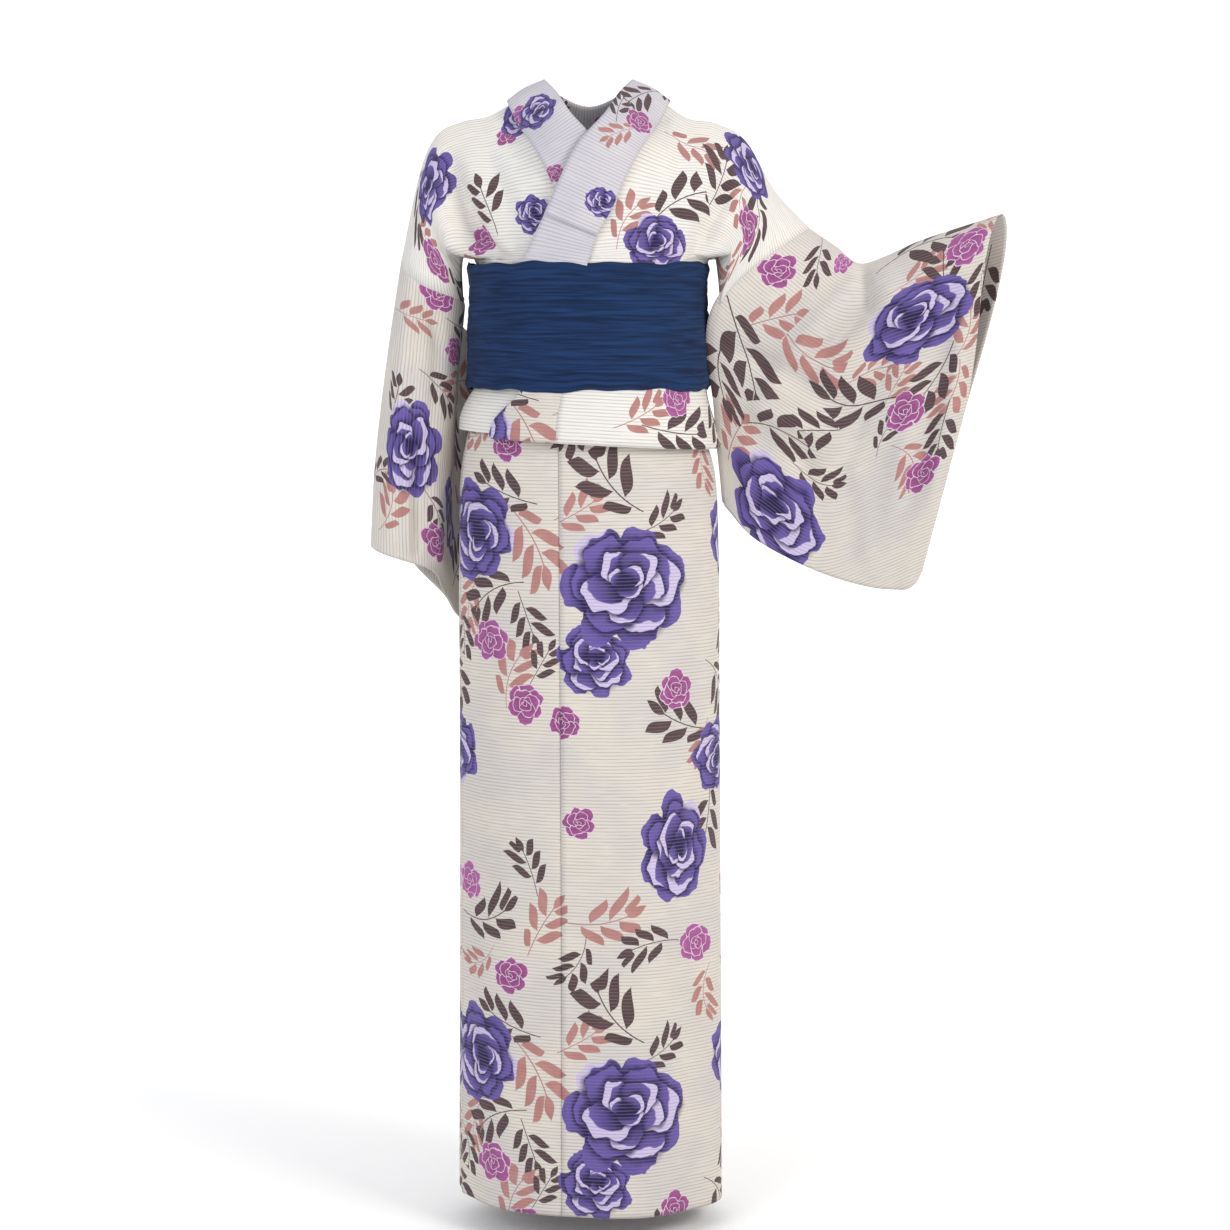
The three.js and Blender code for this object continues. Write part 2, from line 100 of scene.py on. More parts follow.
# Lengthwise lines of a body strip: the share of its width, x at the shoulder, x and z at the
# chest, and how far an arm holds it out there.
panel_lines = {
    -1: [
        (0.25, 116, 60, -140, 0),
        (0.5, 150, 97, -140, 0),
        (0.7, 180, 131, -143, 44),
        (0.85, 199, 168, -150, 52),
    ],
    1: [
        (0.25, 116, 62, -140, 0),
        (0.5, 150, 102, -140, 0),
        (0.7, 186, 137, -146, 52),
        (0.85, 219, 166, -166, 52),
    ],
}
# Collar stations from the nape to the end under the obi: each has its number, then the sewn
# edge and the free edge, x, y, z at the nape and x, z on the front.
collar_nape = [
    (0, (0, 94, -44), (0, 82, 6)),
    (1, (50, 83, -26), (33, 62, 16)),
    (1.5, (83, 48, -9), (48, 34, 25)),
    (2, (94, 6, 5), (51, 2, 29)),
]
collar_front = [
    (3, 80, -25, 35, 12), (4, 65, -47, 19, -14), (5, 47, -80, -13, -51), (6, 28, -122, -34, -94),
    (7, 11, -153, -49, -128), (8, 2, -178, -68, -166), (9, -9, -212, -84, -204),
]
# Sleeve sections from armhole to cuff, each from the fold over the arm to the bag's bottom.
sleeve_form = {
    -1: dict(
        marks=[0, 0.25, 0.5, 0.75, 1],
        p=[0, 0.35, 0.7, 1],
        x=[[-221, -184, -164, -151, -90], [-240, -194, -171, -155, -90],
           [-255, -200, -175, -155, -90], [-261, -204, -175, -154, -90]],
        y=[[0, 0, 36, 80, 124], [0, 1, 36, 80, 124], [1, 2, 36, 80, 124], [2, 4, 36, 80, 124]],
        z=[[-181, -218, -236, -268, -305], [-300, -324, -362, -405, -436],
           [-420, -442, -482, -522, -548], [-516, -540, -580, -616, -640]],
        puff=[44, 44, 42, 36],
        reach=[0.72, 0.66, 0.6, 0.5],
    ),
    1: dict(
        marks=[0, 0.35, 0.7, 1],
        p=[0, 0.25, 0.45, 0.72, 1],
        x=[[261, 154, 154, 162], [292, 225, 212, 200], [322, 296, 280, 262],
           [392, 368, 350, 330], [474, 448, 417, 384]],
        y=[[0, -6, -6, -5], [-4, -12, -12, -14], [-20, -28, -30, -32],
           [-50, -54, -54, -54], [-90, -90, -82, -74]],
        z=[[-142, -235, -360, -468], [-163, -275, -400, -508], [-183, -300, -426, -540],
           [-155, -300, -436, -560], [-128, -292, -426, -562]],
        puff=[42, 42, 40, 38, 34],
        reach=[0.95, 0.95, 0.9, 0.75, 0.5],
    ),
}


def mix(a, b, t):
    return a + (b - a) * t


def ease(start, end, v):
    """0 to 1, softly, as v goes from start to end."""
    t = np.clip((v - start) / (end - start), 0, 1)
    return t * t * (3 - 2 * t)


def smooth(marks, values, at):
    """A smooth curve through values at rising marks, read at one place or many."""
    m = np.asarray(marks, float)
    v = np.asarray(values, float)
    slope = np.diff(v, axis=0) / np.diff(m).reshape((-1,) + (1,) * (v.ndim - 1))
    lean = np.concatenate([slope[:1], 0.5 * (slope[:-1] + slope[1:]), slope[-1:]])
    at = np.asarray(at, float)
    k = np.searchsorted(m[1:-1], at)
    span = m[k + 1] - m[k]
    t = (at - m[k]) / span
    extra = (1,) * (v.ndim - 1)
    t = t.reshape(t.shape + extra)
    span = span.reshape(span.shape + extra)
    near = v[k] * (2 * t**3 - 3 * t**2 + 1) + v[k + 1] * (3 * t**2 - 2 * t**3)
    return near + span * (lean[k] * (t**3 - 2 * t**2 + t) + lean[k + 1] * (t**3 - t**2))


def track(table, by, at, column):
    """A column of a table read smoothly at a value of another, held at its ends."""
    return smooth(table[by], table[column], np.clip(at, table[by][0], table[by][-1]))


def rise(r):
    """How far the cloth has come forward a share r down from the shoulder."""
    return np.sin(0.5 * np.pi * np.clip(r, 0, 1) ** 0.8)


def on_form(deg, z, out):
    """A point on the hanging form, out mm off it."""
    turn = np.radians(deg)
    c = np.cos(turn)
    depth = np.where(c > 0, track(girth, "z", z, "front"), track(girth, "z", z, "back")) + out
    half = track(girth, "z", z, "half") + out
    return np.stack(
        np.broadcast_arrays(track(girth, "z", z, "mid") + half * np.sin(turn), -depth * c, z),
        axis=-1,
    ).astype(float)


def turn_out(side, turn, deg):
    """How far out a turn of cloth lies; both sides meet at the back seam."""
    return mix(turns[side][turn], turns[0][turn], ease(112, 168, np.abs(deg)))


def torso_y(side, face, x, z, out):
    """Depth of the bodice at x, z on the front (1) or back (-1)."""
    drop = track(shoulder_top[side], "x", np.abs(x), "z") - z
    reach = np.minimum(0.98, np.abs(x) / track(girth, "z", z, "half"))
    depth = track(girth, "z", z, "front" if face > 0 else "back") * np.sqrt(1 - reach**2)
    if face > 0:
        return -rise(drop / CHEST_DROP) * depth - out * ease(-10, 60, drop)
    return rise(drop / BACK_DROP) * depth + out * ease(20, 150, drop)


def collar_rows(side):
    """The collar's sewn edge, middle and free edge from nape to end, and their marks."""
    rows = []
    for s, sewn, loose in collar_nape:
        out = np.array(sewn, float) * (side, 1, 1)
        free = np.array(loose, float) * (side, 1, 1)
        middle = 0.5 * (out + free) * (1.03, 1.04, 1) + (0, 0, 2)
        rows.append((s, out, middle, free))

    def at(x, z):
        y, above, below = (
            torso_y(side, 1, side * x, z + d, turns[side]["outer"]) for d in (0, 1, -1)
        )
        lift = COLLAR_LIFT + 0.8 * ease(-60, -20, z)
        return np.array([side * x, y - lift * math.hypot(1, 0.5 * (above - below)), z])

    for s, x, z, u, v in collar_front:
        rows.append((s, at(x, z), at(0.5 * (x + u), 0.5 * (z + v)), at(u, v)))
    marks = [-1] + [row[0] for row in rows]
    edges = [[row[k] for row in rows] for k in (1, 2, 3)]
    return marks, [[e[1] * (-1, 1, 1)] + e for e in edges]


collar_table = {side: collar_rows(side) for side in (-1, 1)}


def collar_base(s, across):
    marks, edges = collar_table[-1 if s < 0 else 1]
    return smooth([0, 0.5, 1], [smooth(marks, e, abs(s)) for e in edges], across)


def collar_point(s, across, lift):
    d = 0.02
    along = collar_base(s + d, across) - collar_base(s - d, across)
    over = collar_base(s, min(1, across + d)) - collar_base(s, max(0, across - d))
    n = np.cross(over, along)
    return collar_base(s, across) + lift * n / np.linalg.norm(n)


def sleeve_middle(side, p, q):
    form = sleeve_form[side]
    columns = []
    for axis in "xyz":
        rows = smooth(form["p"], form[axis], p)
        columns.append(smooth(form["marks"], rows, q))
    return np.stack(columns, axis=-1)


# The highest value of the puff's curve, at a fifth of its reach.
PUFF_PEAK = 0.3164


def sleeve_half(side, p, q):
    """Half the gap between the bag's two layers."""
    form = sleeve_form[side]
    puff = smooth(form["p"], form["puff"], p)
    reach = smooth(form["p"], form["reach"], p)
    r = np.minimum(1, q / reach)
    shape = np.sqrt(r) * (1 - r) ** 1.8 / PUFF_PEAK
    return puff * shape + mix(BAG_HALF, CUFF_HALF, ease(0.9, 0.99, p)) * ease(0, 0.12, q)


def sleeve_points(side, p, q, face):
    """Points at q down the section p, on the front (1) or back (-1) of the bag."""
    d = 0.01
    q = np.asarray(q, float)
    along = sleeve_middle(side, p + d, q) - sleeve_middle(side, p - d, q)
    low, high = np.maximum(0, q - d), np.minimum(1, q + d)
    down = sleeve_middle(side, p, high) - sleeve_middle(side, p, low)
    n = np.cross(along, down) * -side
    n /= np.linalg.norm(n, axis=-1, keepdims=True)
    return sleeve_middle(side, p, q) + n * (face * sleeve_half(side, p, q))[..., None]


def panel_deg(side, face, w):
    if face > 0:
        return side * mix(-OKUMI_SEAM_DEG + SEAM_DEG, SIDE_SEAM_DEG, w)
    return side * mix(BACK_SEAM_DEG, SIDE_SEAM_DEG + 0.5, w)


def bodice_row(side, face, w, t):
    """One row of the bodice, from the neck edge to the sleeve seam, t from shoulder to waist."""
    out = turns[side]["outer"]
    out_behind = turns[0]["outer"]
    lift = mix(NECK_LIFT, COLLAR_LIFT, ease(0.1, 0.4, t))
    if face > 0:
        neck = collar_point(side * mix(2, 8.5, min(1, t) ** 0.9), NECK_ACROSS, -lift)
    else:
        neck = collar_point(side * mix(2, 0.05, min(1, t / NECK_REACH)), NECK_ACROSS, -lift)
        share = (t - NECK_REACH) / (1 - NECK_REACH)
        z = mix(neck[2], WAIST_Z, ease(0, 1, 0.5 + 0.5 * share) * 2 - 1)
        if t > NECK_REACH:
            down = np.array([side * 0.4, torso_y(side, -1, 0, z, out_behind), z])
            join = ease(NECK_REACH, NECK_REACH + 0.25, t)
            neck = np.array([down[0], mix(neck[1], down[1], join), down[2]])
    r = min(1, t / ARM_SHARE)
    late = max(0, (t - ARM_SHARE) / (1 - ARM_SHARE))
    lines = [neck]
    for _, shoulder_x, chest_x, chest_z, arm_y in panel_lines[side]:
        end_x = chest_x if face > 0 else mix(chest_x, shoulder_x, 0.25)
        x = mix(shoulder_x, end_x, r**1.4)
        top = track(shoulder_top[side], "x", shoulder_x, "z")
        z = mix(chest_z, WAIST_Z, late) if late > 0 else mix(top, chest_z, r)
        y = torso_y(side, face, x, z, out if face > 0 else out_behind)
        if arm_y:
            y = -face * arm_y * rise(r)
        lines.append(np.array([side * x, float(y), float(z)]))
    joined = sleeve_points(side, 0, SLEEVE_JOIN * r, face)
    turn_in = np.array([side * 151, -face * 12, OBI_TOP_Z + 13])
    lines.append(mix(joined, turn_in, ease(ARM_SHARE, 0.9, t)))
    row = smooth([0] + [line[0] for line in panel_lines[side]] + [1], lines, w)
    level = out if face > 0 else out_behind
    share = ease(4, -26, row[:, 2]) if face > 0 else ease(-20, -55, row[:, 2])
    share = share * (1 - ease(85, 125, np.abs(row[:, 0])))
    row[:, 1] = mix(row[:, 1], torso_y(side, face, row[:, 0], row[:, 2], level), share)
    deg = panel_deg(side, face, w)
    waist = on_form(deg, WAIST_Z, turn_out(side, "outer", deg))
    return mix(row, waist, ease(ARM_SHARE, 1, t) ** 3)


def falls():
    """Levels down a panel from the waist, through the tuck, to the hem."""
    rows = [("outer", z) for z in np.linspace(OBI_TOP_Z - 4, TUCK_Z + 12, 34)]
    rows += [("low", a) for a in np.linspace(0, 180, 9)]
    rows += [("inner", z) for z in np.linspace(TUCK_Z + 14, TIE_Z - 14, 9)]
    rows += [("tie", a) for a in np.linspace(0, 180, 7)]
    rows += [("skirt", z) for z in np.linspace(TIE_Z - 14, TUCK_Z - 2, 14)]
    rows += [("skirt", z) for z in np.linspace(TUCK_Z - 8, HEM_Z, 132)]
    return rows


def away(deg):
    """Straight out from the body."""
    return np.stack([np.sin(np.radians(deg)), -np.cos(np.radians(deg)), 0 * deg], -1)


def fall_row(side, kind, value, deg, sunk=0):
    """One level of a fall; value is its z, or how far round a fold it is (degrees)."""
    inner = turn_out(side, "inner", deg)
    if kind in ("outer", "inner", "skirt"):
        row = on_form(deg, value, turn_out(side, kind, deg) - sunk)
        if kind == "skirt":
            row[:, 2] += HEM_TILT * row[:, 0] * ease(-395, -1100, value)
        if kind == "outer":
            row[:, 2] += TUCK_TILT * row[:, 0] * ease(-250, -366, value)
        return row
    other = turn_out(side, "outer" if kind == "low" else "skirt", deg)
    radius = 0.5 * np.abs(other - inner)
    c = math.cos(math.radians(value)) * radius
    s = math.sin(math.radians(value)) * radius
    if kind == "low":
        x = on_form(deg, TUCK_Z, 0)[:, 0]
        return on_form(deg, TUCK_Z + TUCK_TILT * x - s, 0.5 * (other + inner) + c)
    return on_form(deg, TIE_Z + s, 0.5 * (other + inner) + c)


def crease(points, facing, table):
    """Soft troughs (below 0) and ridges along short lines, seen from the front or back."""
    depth = np.zeros(points.shape[:-1])
    x, z = points[..., 0], points[..., 2]
    folds = [(face, *values) for face, rows in table.items() for values in rows]
    for face, x0, z0, x1, z1, wide, deep, *bowed in folds:
        length = math.hypot(x1 - x0, z1 - z0)
        ux, uz = (x1 - x0) / length, (z1 - z0) / length
        along = (x - x0) * ux + (z - z0) * uz
        bow = sum(bowed) * np.sin(np.pi * np.clip(along / length, 0, 1))
        off = (x - x0) * -uz + (z - z0) * ux - bow
        fade = ease(-0.2 * length, 0.25 * length, along)
        fade = fade * (1 - ease(0.7 * length, 1.25 * length, along))
        spread = np.exp(-((off / wide) ** 2))
        depth += np.where(facing == face, deep * fade * spread, 0)
    return depth


def grid_normals(grid, looped):
    if looped:
        across = np.roll(grid, -1, axis=1) - np.roll(grid, 1, axis=1)
    else:
        across = np.gradient(grid, axis=1)
    n = np.cross(across, np.gradient(grid, axis=0))
    return n / np.maximum(np.linalg.norm(n, axis=-1, keepdims=True), 1e-9)


def pushed(grid, facing, depth, looped=False):
    """The grid moved out by depth, on the front and on the back."""
    n = grid_normals(grid, looped)
    outward = np.sign((n[..., 1] * -facing).mean())
    return grid + n * (depth * outward)[..., None]


def cloth(name, grid, uv, wall, materials, looped=False, upper=None):
    """A thin closed shell on a grid of points (mm), with the flat cut's own UV in metres."""
    n = grid_normals(grid, looped)
    rows, cols = grid.shape[:2]
    both = np.concatenate([grid + 0.5 * wall * n, grid - 0.5 * wall * n]).reshape(-1, 3)
    number = np.arange(rows * cols).reshape(rows, cols)
    left = np.arange(cols if looped else cols - 1)
    right = (left + 1) % cols
    a, b, c, d = number[:-1, left], number[:-1, right], number[1:, right], number[1:, left]
    under = rows * cols
    quads = [np.stack([a, b, c, d], -1).reshape(-1, 4)]
    quads.append(np.stack([a, d, c, b], -1).reshape(-1, 4) + under)

    def rim(p, q):
        quads.append(np.stack([p, p + under, q + under, q], -1))

    rim(number[0, left], number[0, right])
    rim(number[-1, right], number[-1, left])
    if not looped:
        rim(number[1:, 0], number[:-1, 0])
        rim(number[:-1, -1], number[1:, -1])
    quads = np.concatenate(quads)
    corner = both[quads]
    volume = np.einsum("ij,ij->i", corner[:, 0], np.cross(corner[:, 1], corner[:, 2])).sum()
    volume += np.einsum("ij,ij->i", corner[:, 0], np.cross(corner[:, 2], corner[:, 3])).sum()
    if volume < 0:
        quads = quads[:, ::-1]
    mesh = bpy.data.meshes.new(name)
    mesh.from_pydata((both * MM).tolist(), [], quads.tolist())
    layer = mesh.uv_layers.new(name="cut")
    flat = np.concatenate([uv.reshape(-1, 2)] * 2) * MM
    corner_uv = flat[quads]
    if looped:
        columns = quads % under % cols
        wraps = (columns.max(1) - columns.min(1)) > cols // 2
        corner_uv[wraps] = corner_uv[wraps][:, :1]
    layer.data.foreach_set("uv", corner_uv.reshape(-1))
    mesh.polygons.foreach_set("use_smooth", [True] * len(mesh.polygons))
    for material in materials:
        mesh.materials.append(material)
    if upper is not None:
        rows_of = quads % under // cols
        mesh.polygons.foreach_set("material_index", upper[rows_of.min(1)].astype(int))
    piece = bpy.data.objects.new(name, mesh)
    bpy.context.collection.objects.link(piece)
    return piece


def path_lengths(grid, axis):
    """Distance walked along one way of a grid, from 0."""
    steps = np.linalg.norm(np.diff(grid, axis=axis), axis=-1)
    start = np.zeros_like(steps.take([0], axis=axis))
    return np.concatenate([start, np.cumsum(steps, axis=axis)], axis=axis)


def linear(code):
    """An sRGB hex colour as linear RGBA."""
    parts = [int(code[k : k + 2], 16) / 255 for k in (1, 3, 5)]
    return [p / 12.92 if p <= 0.04045 else ((p + 0.055) / 1.055) ** 2.4 for p in parts] + [1]


def add(tree, kind, links=(), **settings):
    """One node with its settings; links pairs an input with a value or another output."""
    made = tree.nodes.new("ShaderNode" + kind)
    for key, value in settings.items():
        setattr(made, key, value)
    for slot, value in dict(links).items():
        if isinstance(value, bpy.types.NodeSocket):
            tree.links.new(value, made.inputs[slot])
        else:
            made.inputs[slot].default_value = value
    return made


def calc(tree, operation, a, b=0.0, c=0.0):
    return add(tree, "Math", {0: a, 1: b, 2: c}, operation=operation).outputs[0]


def vector(tree, operation, *parts):
    return add(tree, "VectorMath", dict(enumerate(parts)), operation=operation).outputs


def ramp(tree, value, low, high):
    made = add(
        tree, "MapRange", {"Value": value, "From Min": low, "From Max": high},
        interpolation_type="SMOOTHSTEP",
    )
    return made.outputs["Result"]


def blend(tree, share, a, b):
    return add(tree, "Mix", {0: share, 6: a, 7: b}, data_type="RGBA").outputs[2]


def part_along(tree, place, axis):
    """One coordinate of a vector; a split node's unused outputs would crowd the shader's stack."""
    way = tuple(float(k == axis) for k in range(3))
    return vector(tree, "DOT_PRODUCT", place, way)["Value"]


def motif_group(name):
    """An empty group: the motif's own plane in (tone in its z), the colour under it in."""
    tree = bpy.data.node_groups.new(name, "ShaderNodeTree")
    tree.interface.new_socket("Place", in_out="INPUT", socket_type="NodeSocketVector")
    tree.interface.new_socket("Under", in_out="INPUT", socket_type="NodeSocketColor")
    tree.interface.new_socket("Color", in_out="OUTPUT", socket_type="NodeSocketColor")
    into = tree.nodes.new("NodeGroupInput").outputs
    tone = part_along(tree, into["Place"], 2)
    flat = vector(tree, "MULTIPLY", into["Place"], (1, 1, 0))[0]
    return tree, flat, tone, into["Under"]


def motif_end(tree, colour):
    out = tree.nodes.new("NodeGroupOutput")
    tree.links.new(colour, out.inputs[0])
    return tree


def ruffled(tree, place, scale, amount, tone):
    """The plane pushed about a little by noise, another way for each tone."""
    noise = add(
        tree, "TexNoise",
        {"Vector": place, "W": calc(tree, "MULTIPLY", tone, 9.0), "Scale": scale, "Detail": 1},
        noise_dimensions="4D",
    )
    centred = vector(tree, "SUBTRACT", noise.outputs["Color"], (0.5, 0.5, 0.5))[0]
    return vector(tree, "MULTIPLY_ADD", centred, (amount, amount, 0), place)[0]


def petal_plane(tree, plane, out, turn, length, width):
    """A petal's own plane: 1 at its edge, x out along it."""
    middle = (out * math.cos(turn), out * math.sin(turn), 0)
    made = add(
        tree, "Mapping",
        {"Vector": plane, "Location": middle, "Rotation": (0, 0, turn),
         "Scale": (length, width, 1)},
        vector_type="TEXTURE",
    )
    return made.outputs[0]


def peony_group():
    """Overlapping petals, dark where they start and violet at the tip, some with a pale curl."""
    tree, place, tone, colour = motif_group("painted peony")
    plane = ruffled(tree, ruffled(tree, place, 2.2, 0.34, tone), 6.0, 0.1, tone)
    pick = np.random.default_rng(11)
    # Petals in a ring, how far out, long, wide, first turn, drop, share with a curl, shaded.
    rings = (
        (7, 0.62, 0.36, 0.36, 0.2, 0.0, 0.15, False),
        (6, 0.44, 0.37, 0.36, 0.75, -0.05, 0.4, True),
        (5, 0.26, 0.31, 0.3, 0.1, -0.1, 0.5, True),
        (3, 0.13, 0.19, 0.19, 1.1, -0.14, 0.9, True),
    )
    for count, out, length, width, lean, drop, curl, shaded in rings:
        for k in range(count):
            turn = lean + math.tau * (k + pick.uniform(-0.14, 0.14)) / count
            size = pick.uniform(0.88, 1.16)
            shifted = vector(tree, "ADD", plane, (0, -drop, 0))[0]
            own = petal_plane(tree, shifted, out, turn, length * size, width * size)
            radius = vector(tree, "LENGTH", own)["Value"]
            along = part_along(tree, own, 0)
            if shaded:
                cast = calc(tree, "MULTIPLY", ramp(tree, radius, 1.32, 0.98), 0.85)
                colour = blend(tree, cast, colour, linear("#20164a"))
            fill = blend(tree, ramp(tree, along, -0.35, 0.85), linear("#1f1649"), linear("#62529c"))
            if pick.random() < curl:
                side = pick.choice([-0.34, 0.34])
                inner = vector(tree, "ADD", own, (0.3, side, 0))[0]
                gap = vector(tree, "LENGTH", inner)["Value"]
                fill = blend(tree, ramp(tree, gap, 1.02, 1.08), fill, linear("#c3b8d8"))
            colour = blend(tree, ramp(tree, radius, 1.0, 0.97), colour, fill)
    return motif_end(tree, colour)


def rose_group():
    """A small round bloom of plum petals, each with a thin pale outline."""
    tree, place, tone, colour = motif_group("painted rose")
    plane = ruffled(tree, place, 2.6, 0.36, tone)
    pick = np.random.default_rng(5)
    # Petals in a ring, how far out, long, wide, first turn.
    rings = (
        (6, 0.56, 0.4, 0.42, 0.3),
        (4, 0.32, 0.36, 0.38, 0.9),
        (3, 0.14, 0.22, 0.24, 0.2),
        (1, 0.02, 0.1, 0.09, 0.4),
    )
    lively = calc(tree, "MULTIPLY_ADD", tone, 0.5, 0.25)
    for count, out, length, width, lean in rings:
        for k in range(count):
            turn = lean + math.tau * (k + pick.uniform(-0.12, 0.12)) / count
            size = pick.uniform(0.9, 1.12)
            own = petal_plane(tree, plane, out, turn, length * size, width * size)
            radius = vector(tree, "LENGTH", own)["Value"]
            along = part_along(tree, own, 0)
            share = calc(tree, "MULTIPLY_ADD", along, 0.42, lively)
            fill = blend(tree, share, linear("#6e235a"), linear("#a95a98"))
            line = 0.06 / (length + 0.12)
            pale = ramp(tree, radius, 0.97 - line, 0.99 - 0.5 * line)
            fill = blend(tree, pale, fill, linear("#dcc3d8"))
            colour = blend(tree, ramp(tree, radius, 1.0, 0.97), colour, fill)
    return motif_end(tree, colour)


def sprig_group(name, dark, light):
    """A curved twig with slim pointed leaves either side and one at the tip."""
    tree, place, tone, colour = motif_group(name)

    def made(operation, a, b=0.0, c=0.0):
        return calc(tree, operation, a, b, c)

    x, raw = part_along(tree, place, 0), part_along(tree, place, 1)
    bow = made("MULTIPLY_ADD", tone, 0.9, -0.45)
    y = made("MULTIPLY_ADD", made("MULTIPLY", x, x), bow, made("MULTIPLY", raw, 0.85))
    high = made("ABSOLUTE", y)
    up = made("GREATER_THAN", y, 0.0)
    # Leaves spring every half of the sprig's size, by turns left and right, and lean forward.
    pace, lean = 0.5, 0.95
    stem_from, stem_to, stem_half, last_leaf = -0.95, 0.7, 0.014, 0.72
    root_x = made("MULTIPLY_ADD", high, -lean, x)
    cell = made("MULTIPLY_ADD", root_x, 1 / pace, made("MULTIPLY_ADD", up, 0.5, tone))
    number = made("ROUND", cell)
    off = made("MULTIPLY", made("SUBTRACT", cell, number), pace)
    stem_x = made("SUBTRACT", root_x, off)
    reach = made("SUBTRACT", 0.7, made("MULTIPLY", made("MULTIPLY", stem_x, stem_x), 0.5))
    wobble = made("SINE", made("MULTIPLY_ADD", number, 2.4, made("MULTIPLY", up, 1.3)))
    reach = made("MULTIPLY", reach, made("MULTIPLY_ADD", wobble, 0.16, 0.92))
    share = made("DIVIDE", made("SUBTRACT", high, 0.03), reach)
    swell = made("MULTIPLY", share, made("SUBTRACT", 1.0, share))
    width = made("MULTIPLY", made("POWER", made("MAXIMUM", swell, 0.0), 1.45), 1.55)
    leaf = made("LESS_THAN", made("ABSOLUTE", off), width)
    leaf = made("MULTIPLY", leaf, made("LESS_THAN", made("ABSOLUTE", stem_x), last_leaf))
    tip_x = made("SUBTRACT", x, 0.62)
    tip_w = made("MULTIPLY", tip_x, made("SUBTRACT", 0.6, tip_x))
    tip_w = made("MULTIPLY", made("POWER", made("MAXIMUM", tip_w, 0.0), 1.35), 3.2)
    tip = made("LESS_THAN", high, tip_w)
    stem = made("LESS_THAN", high, stem_half)
    stem = made("MULTIPLY", stem, made("LESS_THAN", x, stem_to))
    stem = made("MULTIPLY", stem, made("GREATER_THAN", x, stem_from))
    shape = made("MAXIMUM", made("MAXIMUM", leaf, tip), stem)
    uneven = add(tree, "TexNoise", {"Vector": place, "Scale": 2.0}).outputs[0]
    fill = blend(tree, uneven, linear(dark), linear(light))
    return motif_end(tree, blend(tree, shape, colour, fill))


# A sprig is less wide than long.
SPRIG_WIDE = 0.85
# The print's layers, the lowest first.
motifs = {
    "pink sprig": sprig_group("dusty pink sprig", "#9c6763", "#bd8a84"),
    "dark sprig": sprig_group("brown sprig", "#3d2c31", "#5d484a"),
    "rose": rose_group(),
    "small peony": peony_group(),
}
motifs["peony"] = motifs["small peony"]


def cotton(name):
    """A material with nothing in it but the cut's UV."""
    material = bpy.data.materials.new(name)
    material.use_nodes = True
    tree = material.node_tree
    tree.nodes.clear()
    return material, tree, add(tree, "UVMap", uv_map="cut").outputs[0]


def surface(tree, colour, bump, rough, sheen, gloss):
    """The matt cloth's shader and its output."""
    links = {"Base Color": colour, "Roughness": rough, "Normal": bump.outputs[0]}
    links |= {"Sheen Weight": sheen, "Specular IOR Level": gloss}
    add(tree, "OutputMaterial", {"Surface": add(tree, "BsdfPrincipled", links).outputs[0]})


# From one rib of the cloth to the next (m).
RIB_PITCH = 0.0041


def print_cotton(name, tile, chart, shade=("#c8c3bf", "#d3ccc1")):
    """Off-white cotton with thin weft ribs and a painted print repeating every tile (mm)."""
    material, tree, uv = cotton(name)
    half = (0.5 * tile[0] * MM, 0.5 * tile[1] * MM, 1.0)
    low = tuple(-v for v in half)
    mottle = add(tree, "TexNoise", {"Vector": uv, "Scale": 11.0, "Detail": 2}).outputs[0]
    cloud = ramp(tree, mottle, 0.3, 0.7)
    # The ground comes from each use. The skirt's and the sleeves' ground is the cotton's own. The
    # bodice's lighter ground and the collar's darker ground on the same cotton are painted light and
    # painted shade.
    colour = blend(tree, cloud, linear(shade[0]), linear(shade[1]))
    for kind, motif in motifs.items():
        # Each spot of the cloth shows the motif of this kind that it is nearest to for its size.
        spot = None
        usual = SPRIG_WIDE if "sprig" in kind else 1
        for u, v, size, turn, tenths, *wide in chart.get(kind, ()):
            scale = (size * MM, size * (wide or [usual])[0] * MM, 1)
            off = vector(tree, "SUBTRACT", uv, (u * MM, v * MM, 0))[0]
            near = vector(tree, "WRAP", off, half, low)[0]
            turned = add(
                tree, "Mapping",
                {"Vector": near, "Rotation": (0, 0, math.radians(turn)), "Scale": scale},
                vector_type="TEXTURE",
            ).outputs[0]
            reach = vector(tree, "LENGTH", turned)["Value"]
            lifted = vector(tree, "ADD", turned, (0, 0, tenths / 10))[0]
            if spot is None:
                spot, nearest = lifted, reach
                continue
            inside = calc(tree, "LESS_THAN", reach, nearest)
            nearest = calc(tree, "MINIMUM", reach, nearest)
            spot = add(
                tree, "Mix", {0: inside, 4: spot, 5: lifted}, data_type="VECTOR"
            ).outputs[1]
        if spot is not None:
            drawn = add(tree, "Group", {"Place": spot, "Under": colour}, node_tree=motif)
            colour = drawn.outputs[0]
    drift = add(tree, "TexNoise", {"Vector": uv, "Scale": 26.0, "Detail": 1}).outputs[0]
    along = part_along(tree, uv, 1)
    wave = calc(tree, "MULTIPLY_ADD", drift, 0.3, calc(tree, "MULTIPLY", along, 1 / RIB_PITCH))
    rib = calc(tree, "ABSOLUTE", calc(tree, "SUBTRACT", calc(tree, "FRACT", wave), 0.5))
    stretched = add(tree, "Mapping", {"Vector": uv, "Scale": (30.0, 380.0, 1.0)}).outputs[0]
    broken = add(tree, "TexNoise", {"Vector": stretched, "Scale": 1.0, "Detail": 2}).outputs[0]
    line = calc(tree, "MULTIPLY", ramp(tree, rib, 0.24, 0.06), ramp(tree, broken, 0.2, 0.55))
    colour = blend(tree, calc(tree, "MULTIPLY", line, 0.42), colour, linear("#7b7371"))
    height = calc(tree, "MULTIPLY_ADD", rib, 1.8, broken)
    bump = add(tree, "Bump", {"Strength": 0.5, "Distance": 0.0006, "Height": height})
    surface(tree, colour, bump, rough=0.86, sheen=0.1, gloss=0.25)
    return material


